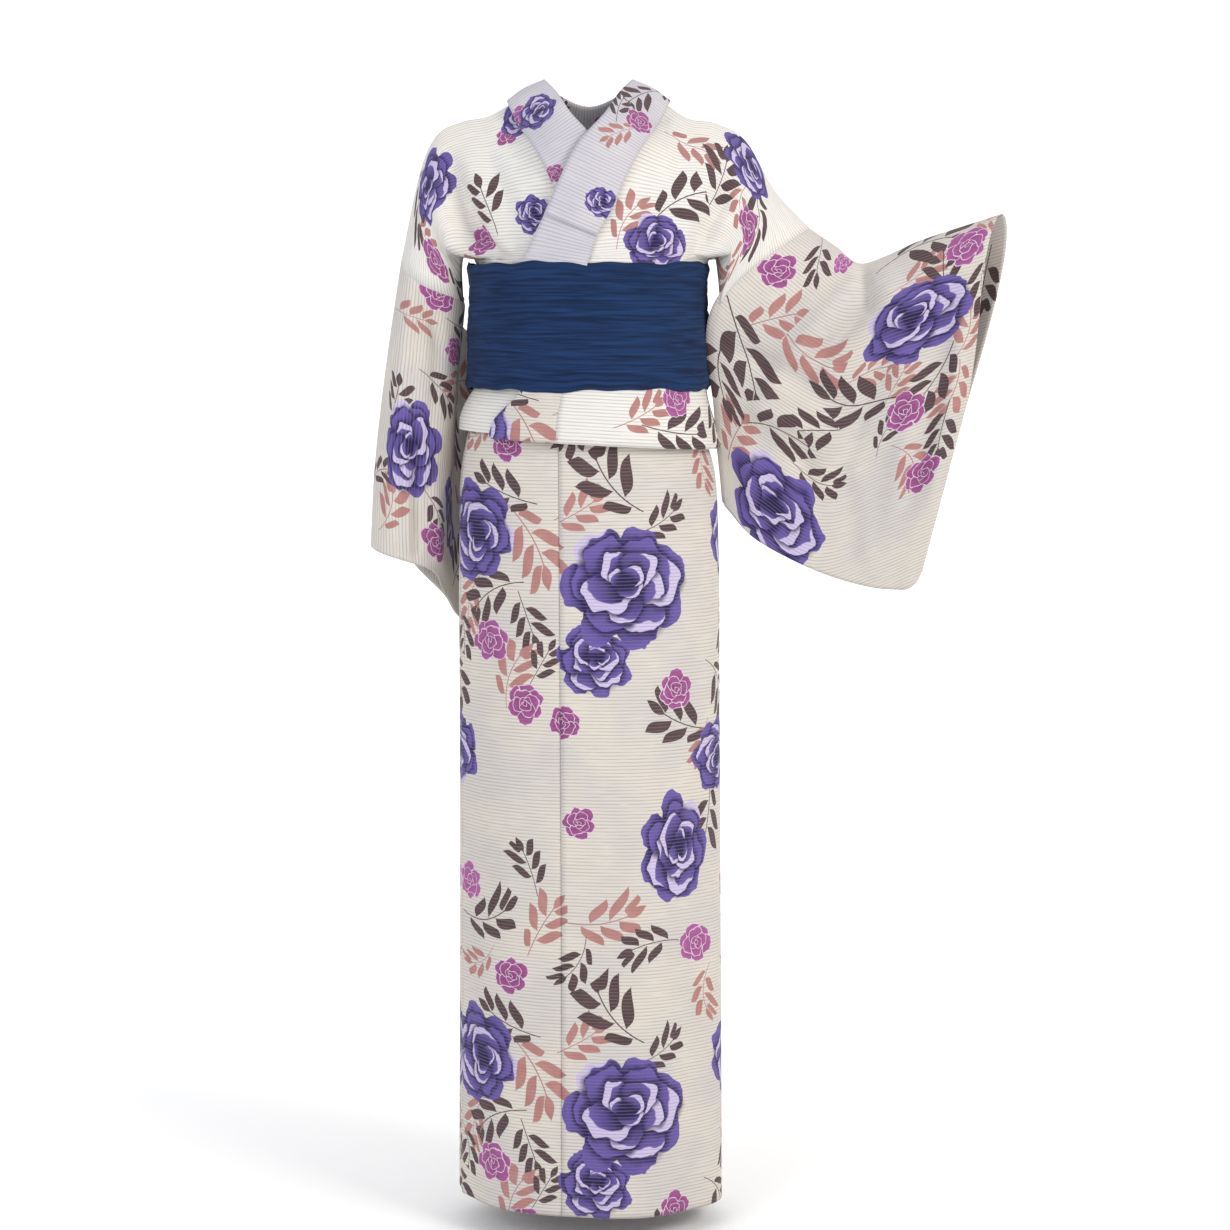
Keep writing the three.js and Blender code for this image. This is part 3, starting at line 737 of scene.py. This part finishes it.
# The bolt's print: its repeat is 370 mm across and 630 mm along. Each motif has its place
# across (u) and along (v), size (mm), turn (degrees), tone (tenths) and, if it isn't round,
# its width for its length. u runs out from the front seam on a body strip, and down from 370
# there to the free edge of an overlap.
BOLT = (370, 630)
skirt_chart = {
    "dark sprig": [
        (62, 438, 56, -130, 2), (118, 480, 34, -30, 7), (302, 452, 44, 200, 4),
        (282, 566, 46, 150, 8), (233, 618, 34, 80, 1), (328, 592, 36, 70, 5), (152, 88, 48, 200, 3),
        (331, 262, 34, -110, 6), (270, 330, 46, -15, 9), (20, 370, 34, 120, 2),
        (108, 346, 38, 170, 7), (190, 200, 42, 100, 4), (345, 20, 30, -60, 5), (215, 40, 40, 60, 1),
    ],
    "pink sprig": [
        (336, 502, 52, 60, 3), (18, 468, 38, -30, 6), (246, 577, 36, 110, 8), (306, 34, 40, -70, 2),
        (180, 110, 30, 110, 5), (344, 330, 42, -60, 4), (48, 322, 46, -10, 7), (262, 382, 30, 150, 1),
        (182, 412, 34, 90, 9),
    ],
    "rose": [
        (140, 46, 25, 20, 3), (170, 352, 26, 120, 7), (21, 202, 21, 60, 2), (4, 84, 21, 260, 1),
        (326, 66, 25, 200, 3), (239, 288, 24, 10, 9), (305, 392, 24, 80, 2), (280, 624, 27, 150, 5),
    ],
    "small peony": [
        (38, 8, 46, 70, 2),
    ],
    "peony": [
        (75, 556, 78, 15, 5), (138, 232, 68, 95, 8, 0.72), (256, 494, 62, 150, 3.5),
        (214, 130, 48, 220, 6.5),
    ],
}
body_print = print_cotton("printed yukata cotton, skirt", BOLT, skirt_chart)

# Above the tuck the two fronts show other lengths of the bolt; u is the distance from the
# wearer's middle (the right front's starts at 600), v the distance down from the shoulder.
upper_chart = {
    "dark sprig": [
        (112, 122, 52, -30, 3), (168, 88, 46, -75, 7), (236, 74, 44, 60, 2), (108, 402, 48, 5, 6),
        (190, 385, 40, 80, 4), (722, 128, 40, -70, 5), (838, 40, 44, 70, 8), (880, 150, 40, 30, 2),
        (352, 70, 50, 60, 3), (460, 110, 46, 150, 9), (395, 400, 46, 20, 5), (965, 90, 48, -40, 6),
        (1060, 150, 46, 100, 1), (1000, 395, 46, 160, 3), (330, 180, 40, -20, 8),
    ],
    "pink sprig": [
        (127, 46, 36, 20, 4), (203, 100, 32, 80, 8), (42, 150, 34, -60, 2), (60, 385, 36, -30, 6),
        (226, 140, 30, 70, 3), (856, 84, 32, 90, 5), (765, 200, 30, 0, 1), (430, 60, 40, -40, 7),
        (505, 170, 36, 80, 2), (470, 395, 36, -60, 4), (1010, 60, 40, 30, 5), (930, 170, 38, -80, 8),
        (1090, 395, 36, 20, 3),
    ],
    "rose": [
        (226, 108, 24, 40, 2), (111, 362, 23, 100, 6), (870, 106, 24, 10, 3), (744, 170, 21, 70, 5),
        (697, 38, 17, 150, 2), (400, 140, 24, 30, 4), (340, 390, 23, 80, 2), (1090, 90, 24, 60, 6),
        (925, 390, 23, 140, 3),
    ],
    "peony": [
        (80, 180, 42, 30, 3), (206, 30, 42, 100, 7), (806, 62, 52, 90, 5, 0.75),
        (662, 142, 26, 10, 2), (678, 22, 27, 60, 8), (420, 215, 62, 40, 5), (500, 40, 48, 120, 2),
        (1010, 120, 58, 80, 6), (1050, 395, 44, 20, 4), (420, 380, 44, -30, 9),
    ],
}
# The bodice and the tuck's outer fold are the same cotton as the skirt, given a lighter ground: painted
# light on the chest and the tuck.
upper_print = print_cotton(
    "printed yukata cotton, bodice", (1200, 900), upper_chart, ("#dddbd7", "#e1ddd5")
)

# Folds of the bodice by side, then front (1) and back (-1). Each runs from x, z to x, z (mm,
# seen from the front), then comes how wide, how deep and, where it isn't straight, its bow.
bodice_folds = {
    -1: {
        1: [
            (-158, -66, -106, -178, 7, -8, -6), (-140, -66, -86, -178, 9, 3.5, -5),
            (-182, -84, -150, -172, 9, 3), (-118, -58, -72, -165, 8, -3),
            (-100, -52, -58, -140, 8, 1.8), (-128, -150, -84, -182, 5, -3),
        ],
        -1: [
            (-160, -70, -120, -176, 8, -6, 4), (-90, -60, -60, -170, 12, -3),
            (-30, -90, -40, -175, 9, -3),
        ],
    },
    1: {
        1: [
            (168, -78, 122, -178, 9, -9, 5), (142, -62, 100, -178, 9, 3.2, 4),
            (205, -105, 150, -168, 7, -6), (190, -86, 146, -150, 8, 3.5),
            (108, -50, 84, -170, 10, -2.6), (112, -150, 90, -182, 5, -2.5),
        ],
        -1: [
            (165, -70, 125, -176, 8, -6, -4), (95, -60, 60, -170, 12, -3),
            (36, -90, 42, -175, 9, -3),
        ],
    },
}
# Slow waves down the skirt: middle angle, how wide, how deep at the hem.
skirt_waves = [
    (-62, 10, -1.6), (-38, 12, 1.4), (-5, 9, -1.2), (22, 13, 1.6), (48, 9, -1.8), (72, 10, 1.8),
    (105, 12, -2.4), (133, 10, 2.2), (160, 9, -1.6), (-100, 10, 2), (-128, 12, -2.4), (-155, 10, 1.8),
]


def skirt_wave(deg, z):
    total = 0 * deg
    for middle, wide, deep in skirt_waves:
        total = total + 1.7 * deep * np.exp(-(((deg - middle) / wide) ** 2))
    return total * ease(-390, -1250, z)


def body_panel(name, side):
    across = np.linspace(0, 1, 40)
    upper = np.linspace(0.985, 0.012, 64)
    points, faces, kinds = [], [], []
    for face in (1, -1):
        deg = panel_deg(side, face, across)
        rows = []
        for kind, value in falls():
            row = fall_row(side, kind, value, deg)
            if kind == "skirt":
                row = row + skirt_wave(deg, value)[:, None] * away(deg)
            rows.append((kind, row))
        rows = rows[::-1] + [("bodice", bodice_row(side, face, across, 1))]
        rows += [("bodice", bodice_row(side, face, across, t)) for t in upper]
        if face > 0:
            rows.append(("bodice", bodice_row(side, 1, across, 0)))
        else:
            rows = rows[::-1]
        points += [row for _, row in rows]
        faces += [face] * len(rows)
        kinds += [kind for kind, _ in rows]
    grid = np.array(points)
    facing = np.array(faces)[:, None] + 0 * grid[..., 0]
    in_bodice = np.array([kind == "bodice" for kind in kinds])[:, None]
    depth = crease(grid, facing, bodice_folds[side]) * in_bodice
    grid = pushed(grid, facing, depth)
    shown = np.array([kind in ("bodice", "outer", "low") for kind in kinds])
    run = path_lengths(grid, 0)[:, 8:30].mean(1)
    top = run[faces.index(-1) - 1]
    v = np.where(np.array(faces) > 0, -HEM_Z - run, -HEM_Z - (run[-1] - run))
    v = np.where(shown, np.abs(run - top), v)
    u = path_lengths(grid, 1)
    u = u + np.where(shown, side * grid[:, 0, 0] + (RIGHT_FRONT_U if side < 0 else 0), 0)[:, None]
    behind = (np.array(faces) < 0)[:, None]
    u = np.where(behind & ~shown[:, None], BOLT[0] - u, np.where(behind, u + BEHIND_U, u))
    uv = np.stack([u, np.broadcast_to(v[:, None], u.shape)], -1)
    return cloth(name, grid, uv, CLOTH_WALL, [body_print, upper_print], upper=shown)


def state(piece, node):
    """Hang the piece on the root and hide the part of model.glb that it stands for."""
    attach(piece, "root")
    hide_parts(node)


for name, node, side in (
    ("left_body_length", "body_left", 1),
    ("right_body_length", "body_right", -1),
):
    state(body_panel(name, side), node)

# ---- Overlaps ----
# Half-width strips of the same cotton sewn down the front edges. The left one lies outermost,
# leaning in at the tuck and hanging plumb from there to the hem.

# Where along the bolt's repeat the overlap's tuck ends (mm).
OVERLAP_TUCK_V = 530
# How far the seam lays this strip under the body's edge.
LAID_UNDER_DEG = 0.9
# Where the free edge lies in the folds of the tuck.
FREE_EDGE_DEG = dict(low=44, inner=46, tie=48)
OVERLAP_TOP_Z = -228


def okumi_panel(name, side):
    across = np.linspace(0, 1, 24)
    points, kinds = [], []
    for kind, value in falls():
        if kind == "outer" and value > OVERLAP_TOP_Z:
            continue
        if kind == "outer":
            edge = mix(33, 44, ease(-330, -384, value))
        elif kind == "skirt":
            edge = mix(48, 74, ease(-270, -390, value))
        else:
            edge = FREE_EDGE_DEG[kind]
        deg = -side * mix(OKUMI_SEAM_DEG - LAID_UNDER_DEG, edge, across)
        row = fall_row(side, kind, value, deg, 1.1 * ease(0.05, 0.01, across))
        if kind == "skirt":
            row = row + skirt_wave(deg, value)[:, None] * away(deg)
        points.append(row)
        kinds.append(kind)
    grid = np.array(points)
    run = path_lengths(grid, 0).mean(1)
    v = -HEM_Z - (run[-1] - run)
    shown = np.array([kind in ("outer", "low") for kind in kinds])
    v = np.where(shown, v - v[shown][-1] + OVERLAP_TUCK_V, v)
    u = BOLT[0] - path_lengths(grid, 1)
    uv = np.stack([u, np.broadcast_to(v[:, None], u.shape)], -1)
    return cloth(name, grid, uv, CLOTH_WALL, [body_print])


for name, node, side in (("left_overlap", "okumi_left", 1), ("right_overlap", "okumi_right", -1)):
    state(okumi_panel(name, side), node)

# ---- Collar ----
# One folded strip of the same cotton sewn round the neck and down both fronts, with a second
# shorter strip laid over its upper part.

# u runs from the sewn edge to the free edge, v from the nape down the left front and, below 0,
# down the right front.
collar_chart = {
    "dark sprig": [
        (38, 172, 34, 70, 3), (50, 215, 26, -80, 7), (10, 120, 30, 90, 5), (30, -60, 32, 60, 6),
    ],
    "pink sprig": [
        (30, 245, 24, 60, 4), (45, 80, 28, 40, 2), (15, -110, 28, -70, 3),
    ],
    "rose": [
        (20, 214, 20, 20, 3), (8, -182, 16, 60, 6), (6, -288, 12, 30, 2), (30, 20, 18, 120, 5),
    ],
    "peony": [
        (10, 336, 19, 30, 4), (26, -196, 28, 80, 7),
    ],
}
# The collar is the same cotton as the skirt, given a darker, cooler ground: painted shade.
collar_print = print_cotton(
    "printed yukata cotton, collar", (200, 1000), collar_chart, ("#bfbcc5", "#cbc8cc")
)
COLLAR_WIDE = 60
OVER_LIFT = 2.8


def collar_strip(name, start, end, lift):
    stations = np.arange(start, end + 0.01, 0.07)
    across = np.linspace(0, 1, 13)
    grid = np.array([[collar_point(s, c, lift) for c in across] for s in stations])
    run = path_lengths(grid, 0).mean(1)
    run = run - np.interp(0, stations, run)
    uv = np.stack(np.broadcast_arrays((across * COLLAR_WIDE)[None, :], run[:, None]), -1)
    return cloth(name, grid, uv, CLOTH_WALL, [collar_print])


for name, node, start, end, lift, cut in (
    ("collar_strip", "collar", -8.75, 8.75, 0, (0.062, 0.86)),
    ("over_collar_strip", "over_collar", -5.6, 7, OVER_LIFT, (0.062, 0.62)),
):
    state(collar_strip(name, start, end, lift), node)

# ---- Sleeves ----
# Wide bags of the same cotton, folded over the arm and sewn along the bottom and below the
# cuff. The left one hangs spread; the right one falls beside the hip and behind it.

# u runs out along the arm from the seam, v down from the fold over the arm.
left_chart = {
    "dark sprig": [
        (42, 190, 58, 60, 3), (12, 235, 44, 90, 7), (172, 197, 52, -165, 4), (128, 226, 40, 160, 8),
        (88, 250, 46, -10, 2), (130, 286, 32, 10, 6), (256, 70, 36, -100, 5), (222, 24, 50, -5, 1),
        (303, 100, 38, 80, 9), (262, 196, 42, 120, 3), (277, 262, 36, 90, 6), (208, 246, 26, -60, 2),
        (60, 40, 40, 50, 5), (60, 600, 50, 70, 4), (200, 700, 50, -40, 8), (130, 860, 46, 20, 3),
        (280, 580, 40, 90, 6),
    ],
    "pink sprig": [
        (60, 133, 42, -45, 4), (106, 147, 48, 10, 7), (184, 162, 34, 0, 2), (217, 192, 30, -60, 5),
        (291, 150, 34, -80, 8), (284, 212, 34, 100, 3), (226, 70, 32, -25, 6), (244, 286, 34, 60, 1),
        (28, 300, 40, -70, 4), (296, 20, 30, 10, 6), (120, 560, 42, 20, 3), (260, 780, 42, 110, 7),
        (50, 760, 40, -60, 5),
    ],
    "rose": [
        (27, 86, 25, 20, 2), (112, 24, 21, 80, 8), (277, 48, 25, 200, 6), (231, 227, 25, 10, 3),
        (263, 311, 24, 80, 2), (30, 540, 23, 60, 5), (190, 590, 24, 10, 2), (90, 690, 24, 130, 7),
        (250, 860, 24, 40, 4),
    ],
    "peony": [
        (232, 122, 62, -12, 3, 0.8), (84, 348, 66, 40, 6), (120, 780, 64, 60, 2),
        (240, 650, 54, 150, 8),
    ],
}
left_print = print_cotton("printed yukata cotton, left sleeve", (600, 1000), left_chart)
right_chart = {
    "dark sprig": [
        (165, 52, 30, 170, 4), (276, 112, 30, 30, 7), (40, 140, 36, 100, 2), (130, 105, 34, 60, 6),
        (250, 30, 28, 120, 9), (120, 200, 46, 20, 3), (290, 220, 44, 140, 5), (60, 600, 46, 60, 3),
        (240, 560, 46, -30, 8), (200, 740, 44, 90, 5),
    ],
    "pink sprig": [
        (54, 58, 32, 100, 5), (292, 52, 34, 160, 2), (110, 140, 30, -20, 8), (200, 250, 40, 60, 4),
        (60, 230, 36, 120, 6), (150, 540, 40, 10, 2), (280, 660, 40, 80, 6), (60, 720, 36, 30, 4),
    ],
    "rose": [
        (10, 92, 25, 20, 3), (76, 128, 21, 90, 6), (309, 114, 23, 10, 2), (160, 200, 23, 60, 5),
        (40, 540, 24, 100, 4), (290, 740, 23, 20, 7), (120, 700, 24, 50, 1),
    ],
    "peony": [
        (210, 78, 58, 0, 5, 0.7), (250, 170, 44, 80, 2), (140, 620, 60, 40, 7),
    ],
}
right_print = print_cotton("printed yukata cotton, right sleeve", (600, 1000), right_chart)
# Folds of the sleeves, written as the bodice's are.
sleeve_folds = {
    1: {
        1: [
            (309, -205, 203, -345, 14, 7, -6), (328, -226, 262, -300, 9, -9),
            (172, -285, 290, -350, 13, -7, 6), (190, -350, 262, -378, 11, 5),
            (318, -190, 322, -236, 7, -8), (270, -192, 188, -262, 11, -4, 5),
            (344, -196, 372, -340, 15, 5), (410, -220, 366, -470, 13, -6, 10),
            (432, -230, 404, -460, 12, 4), (246, -390, 262, -530, 16, -6, 4),
            (186, -390, 200, -490, 11, 5), (310, -410, 326, -545, 14, 5),
            (338, -300, 300, -420, 12, -4),
        ],
        -1: [
            (309, -205, 210, -350, 13, 7), (400, -210, 360, -470, 14, -6),
            (250, -380, 262, -520, 16, -6), (310, -400, 322, -545, 14, 5),
            (180, -260, 280, -330, 12, -5),
        ],
    },
    -1: {
        1: [
            (-208, -380, -205, -560, 4, -8), (-216, -370, -213, -560, 5, 5),
            (-178, -240, -190, -400, 8, -5, 4), (-205, -212, -222, -350, 8, 4),
            (-196, -216, -170, -290, 6, -4), (-236, -300, -246, -500, 7, -4),
            (-182, -440, -180, -580, 6, 4),
        ],
        -1: [
            (-190, -300, -200, -520, 9, -6), (-140, -380, -130, -600, 10, -6),
            (-225, -260, -235, -470, 9, 4),
        ],
    },
}


# How far the sleeve's first rows lie under the body's edge, and where the chart of the back
# of the sleeve starts (mm).
SEAM_TUCK = 1.6
BACK_V = 500


def sleeve_bag(name, side, material):
    along = np.concatenate([[-0.02, -0.008], np.linspace(0.004, 1, 84)])
    down = np.concatenate([np.linspace(0, 0.12, 20), np.linspace(0.13, 1, 84)])
    front_q, back_q = down[::-1], down[1:]
    q = np.concatenate([front_q, back_q])
    rounded = np.clip((along - CORNER_START) / (1 - CORNER_START), 0, 1)
    depths = 1 - CORNER_DEPTH * (1 - np.sqrt(1 - rounded**2))
    grid = np.array(
        [
            np.concatenate(
                [sleeve_points(side, p, front_q * k, 1), sleeve_points(side, p, back_q * k, -1)]
            )
            for p, k in zip(along, depths)
        ]
    )
    facing = np.concatenate([np.ones(len(front_q)), -np.ones(len(back_q))])
    facing = np.broadcast_to(facing[None, :], grid.shape[:2])
    edges = ease(1, 0.9, q)[None, :] * ease(1, 0.93, along)[:, None]
    depth = crease(grid, facing, sleeve_folds[side]) * edges
    # Where the bag hangs nearly flat both layers take the front's folds together.
    half = np.array([sleeve_half(side, p, q) for p in along])
    flat = 1 - ease(3, 12, half)
    depth = mix(depth, depth - depth[:, ::-1], flat)
    tucked = -SEAM_TUCK * (along < 0)[:, None]
    top = len(front_q) - 1
    fall = path_lengths(grid, 1)
    v = fall[:, top : top + 1] - fall
    u = path_lengths(grid, 0).mean(1)[:, None] + 0 * v
    v = np.where(np.arange(len(q))[None, :] > top, BACK_V - v, v)
    grid = pushed(grid, facing, depth + tucked, looped=True)
    return cloth(name, grid, np.stack([u, v], -1), CLOTH_WALL, [material], looped=True)


for name, node, side, material, cut in (
    ("left_sleeve_bag", "sleeve_left", 1, left_print, (0.26, 0.82)),
    ("right_sleeve_bag", "sleeve_right", -1, right_print, (0.33, 0.6)),
):
    state(sleeve_bag(name, side, material), node)

# ---- Obi ----
# A soft band of navy cotton crinkled in the finishing, wound round the waist over the tuck's
# top and lapped behind. The crinkles run round it, short and uneven.

OBI_WALL = 1.8
OBI_LOW_Z = -329
OBI_SEAT = 21.6
OBI_LAP = 2.9
OBI_LAP_HALF = 24
# The band's length and height as its crinkles and its cloth are laid out (mm).
OBI_LONG = 960
OBI_HIGH = 146
OBI_CRINKLES = 260
# How far in and out the crinkles may reach.
OBI_RELIEF = (-1.6, 1.5)


def crinkled_cotton():
    """Navy cotton dyed in the piece, matt. Its colour is darker in the hollows of the crinkles and
    lighter on their crests: painted shade and painted light that follow the bump.
    """
    material, tree, uv = cotton("navy crinkled cotton")
    long = add(tree, "Mapping", {"Vector": uv, "Scale": (14.0, 300.0, 1.0)}).outputs[0]
    crinkle_noise = add(tree, "TexNoise", {"Vector": long, "Scale": 1.0, "Detail": 3, "Distortion": 0.6})
    crinkle_relief = crinkle_noise.outputs[0]
    # Painted shade in the crinkles' hollows and painted light on their crests: the colour follows the
    # same noise as the bump's height.
    colour = blend(tree, ramp(tree, crinkle_relief, 0.3, 0.7), linear("#0b1e3c"), linear("#18345e"))
    weave = add(tree, "TexNoise", {"Vector": uv, "Scale": 900.0, "Detail": 1}).outputs[0]
    height = calc(tree, "MULTIPLY_ADD", weave, 0.2, crinkle_relief)
    bump = add(tree, "Bump", {"Strength": 0.6, "Distance": 0.0010, "Height": height})
    surface(tree, colour, bump, rough=0.85, sheen=0.04, gloss=0.2)
    return material


def obi_band(name):
    turn = 360 + 2 * OBI_LAP_HALF
    around = np.linspace(0, 1, 420)
    rise_up = np.linspace(0, 1, 68)
    deg = 180 - OBI_LAP_HALF + turn * around
    lap = OBI_LAP * ease(0.84, 0.9, around)
    z = mix(OBI_LOW_Z, OBI_TOP_Z, rise_up)
    pick = np.random.default_rng(7)
    arc = around * OBI_LONG
    relief = np.zeros((len(rise_up), len(around)))
    for _ in range(OBI_CRINKLES):
        level, middle = pick.uniform(-4, 150), pick.uniform(0, OBI_LONG)
        reach, thick = pick.uniform(25, 90), pick.uniform(1.4, 3.2)
        lean, deep = pick.uniform(-0.05, 0.05), pick.uniform(-1.3, 0.9)
        off = (rise_up * OBI_HIGH)[:, None] - level - lean * (arc - middle)[None, :]
        fade = np.exp(-(((arc - middle) / reach) ** 2))[None, :]
        relief += deep * fade * np.exp(-((off / thick) ** 2))
    grid = []
    for k, level in enumerate(z):
        edge = min(rise_up[k], 1 - rise_up[k])
        uneven = np.sin(arc / 31) + 0.7 * np.sin(arc / 13.7 + 1) + 0.5 * np.sin(arc / 7.1)
        wobble = 1.5 * uneven * ease(0.2, 0, edge) * (1 if rise_up[k] > 0.5 else -1)
        row = on_form(deg, level, OBI_SEAT + lap - 4.5 * ease(0.07, 0, edge) ** 2)
        row = row + away(deg) * np.clip(relief[k], *OBI_RELIEF)[:, None]
        row[:, 2] += wobble
        grid.append(row)
    grid = np.array(grid)
    uv = np.stack(np.broadcast_arrays(arc[None, :], (rise_up * OBI_HIGH)[:, None]), -1)
    return cloth(name, grid, uv, OBI_WALL, [crinkled_cotton()])


state(obi_band("crinkled_obi"), "obi")

# ---- Stage ----
# A plain pale floor and soft studio light, seen straight from the front. Here all is in metres.

FLOOR_Z = -1.345
# Where the floor turns up into the backdrop: the radius of the bend and the backdrop's place.
SWEEP = 2.5
BACK_Y = 6.0
across_floor = np.linspace(-9, 9, 7)
flat_part = [(y, 0.0) for y in np.linspace(-5, BACK_Y - SWEEP, 5)]
bend = [
    (BACK_Y - SWEEP + SWEEP * math.sin(a), SWEEP * (1 - math.cos(a)))
    for a in np.linspace(0.1, 1.57, 14)
]
profile = flat_part + bend + [(BACK_Y, 4.0), (BACK_Y, 7.0)]
spots = [(x, y, FLOOR_Z + z) for y, z in profile for x in across_floor]
step = len(across_floor)
tiles = [
    (k * step + j, k * step + j + 1, (k + 1) * step + j + 1, (k + 1) * step + j)
    for k in range(len(profile) - 1)
    for j in range(step - 1)
]
floor_mesh = bpy.data.meshes.new("floor")
floor_mesh.from_pydata(spots, [], tiles)
floor_mesh.polygons.foreach_set("use_smooth", [True] * len(floor_mesh.polygons))
floor = bpy.data.objects.new("floor", floor_mesh)
bpy.context.collection.objects.link(floor)
pale = bpy.data.materials.new("pale studio floor")
pale.use_nodes = True
paint = pale.node_tree.nodes["Principled BSDF"]
paint.inputs["Base Color"].default_value = linear("#fdfdfd")
paint.inputs["Roughness"].default_value = 0.95
floor_mesh.materials.append(pale)

world = bpy.data.worlds.new("studio")
world.use_nodes = True
sky = world.node_tree.nodes["Background"].inputs
sky["Color"].default_value = (1, 1, 1, 1)
sky["Strength"].default_value = 0.72
bpy.context.scene.world = world

lamps = (
    dict(name="key light", at=(2.3, -1.9, 1.1), aim=(0.05, 0, -0.5), size=1.1, power=52, tint="#fffaf4"),
    dict(name="fill light", at=(-2.0, -2.4, 0.9), aim=(0, 0, -0.5), size=1.8, power=34, tint="#eef3ff"),
    dict(name="backdrop light", at=(0, 1.6, 2.4), aim=(0, 6, 0.4), size=3, power=130, tint="#ffffff"),
)
for lamp in lamps:
    data = bpy.data.lights.new(lamp["name"], "AREA")
    data.size = lamp["size"]
    data.energy = lamp["power"]
    data.color = linear(lamp["tint"])[:3]
    light = bpy.data.objects.new(lamp["name"], data)
    bpy.context.collection.objects.link(light)
    light.location = lamp["at"]
    reach = np.array(lamp["aim"]) - np.array(lamp["at"])
    tilt = math.acos(-reach[2] / np.linalg.norm(reach))
    light.rotation_euler = (tilt, 0, math.atan2(reach[1], reach[0]) - math.pi / 2)

EYE = (0.031, -3.0, -0.25)
# The eye looks down at a point 0.35 m lower in the plane of the shoulders.
PITCH = math.atan2(0.35, 3.0)
LENS_MM = 73.67
camera_data = bpy.data.cameras.new("camera")
camera_data.lens = LENS_MM
camera_data.sensor_width = 36
camera = bpy.data.objects.new("camera", camera_data)
bpy.context.collection.objects.link(camera)
camera.location = EYE
camera.rotation_euler = (0.5 * math.pi - PITCH, 0, 0)
bpy.context.scene.camera = camera
bpy.context.scene.view_settings.view_transform = "Standard"
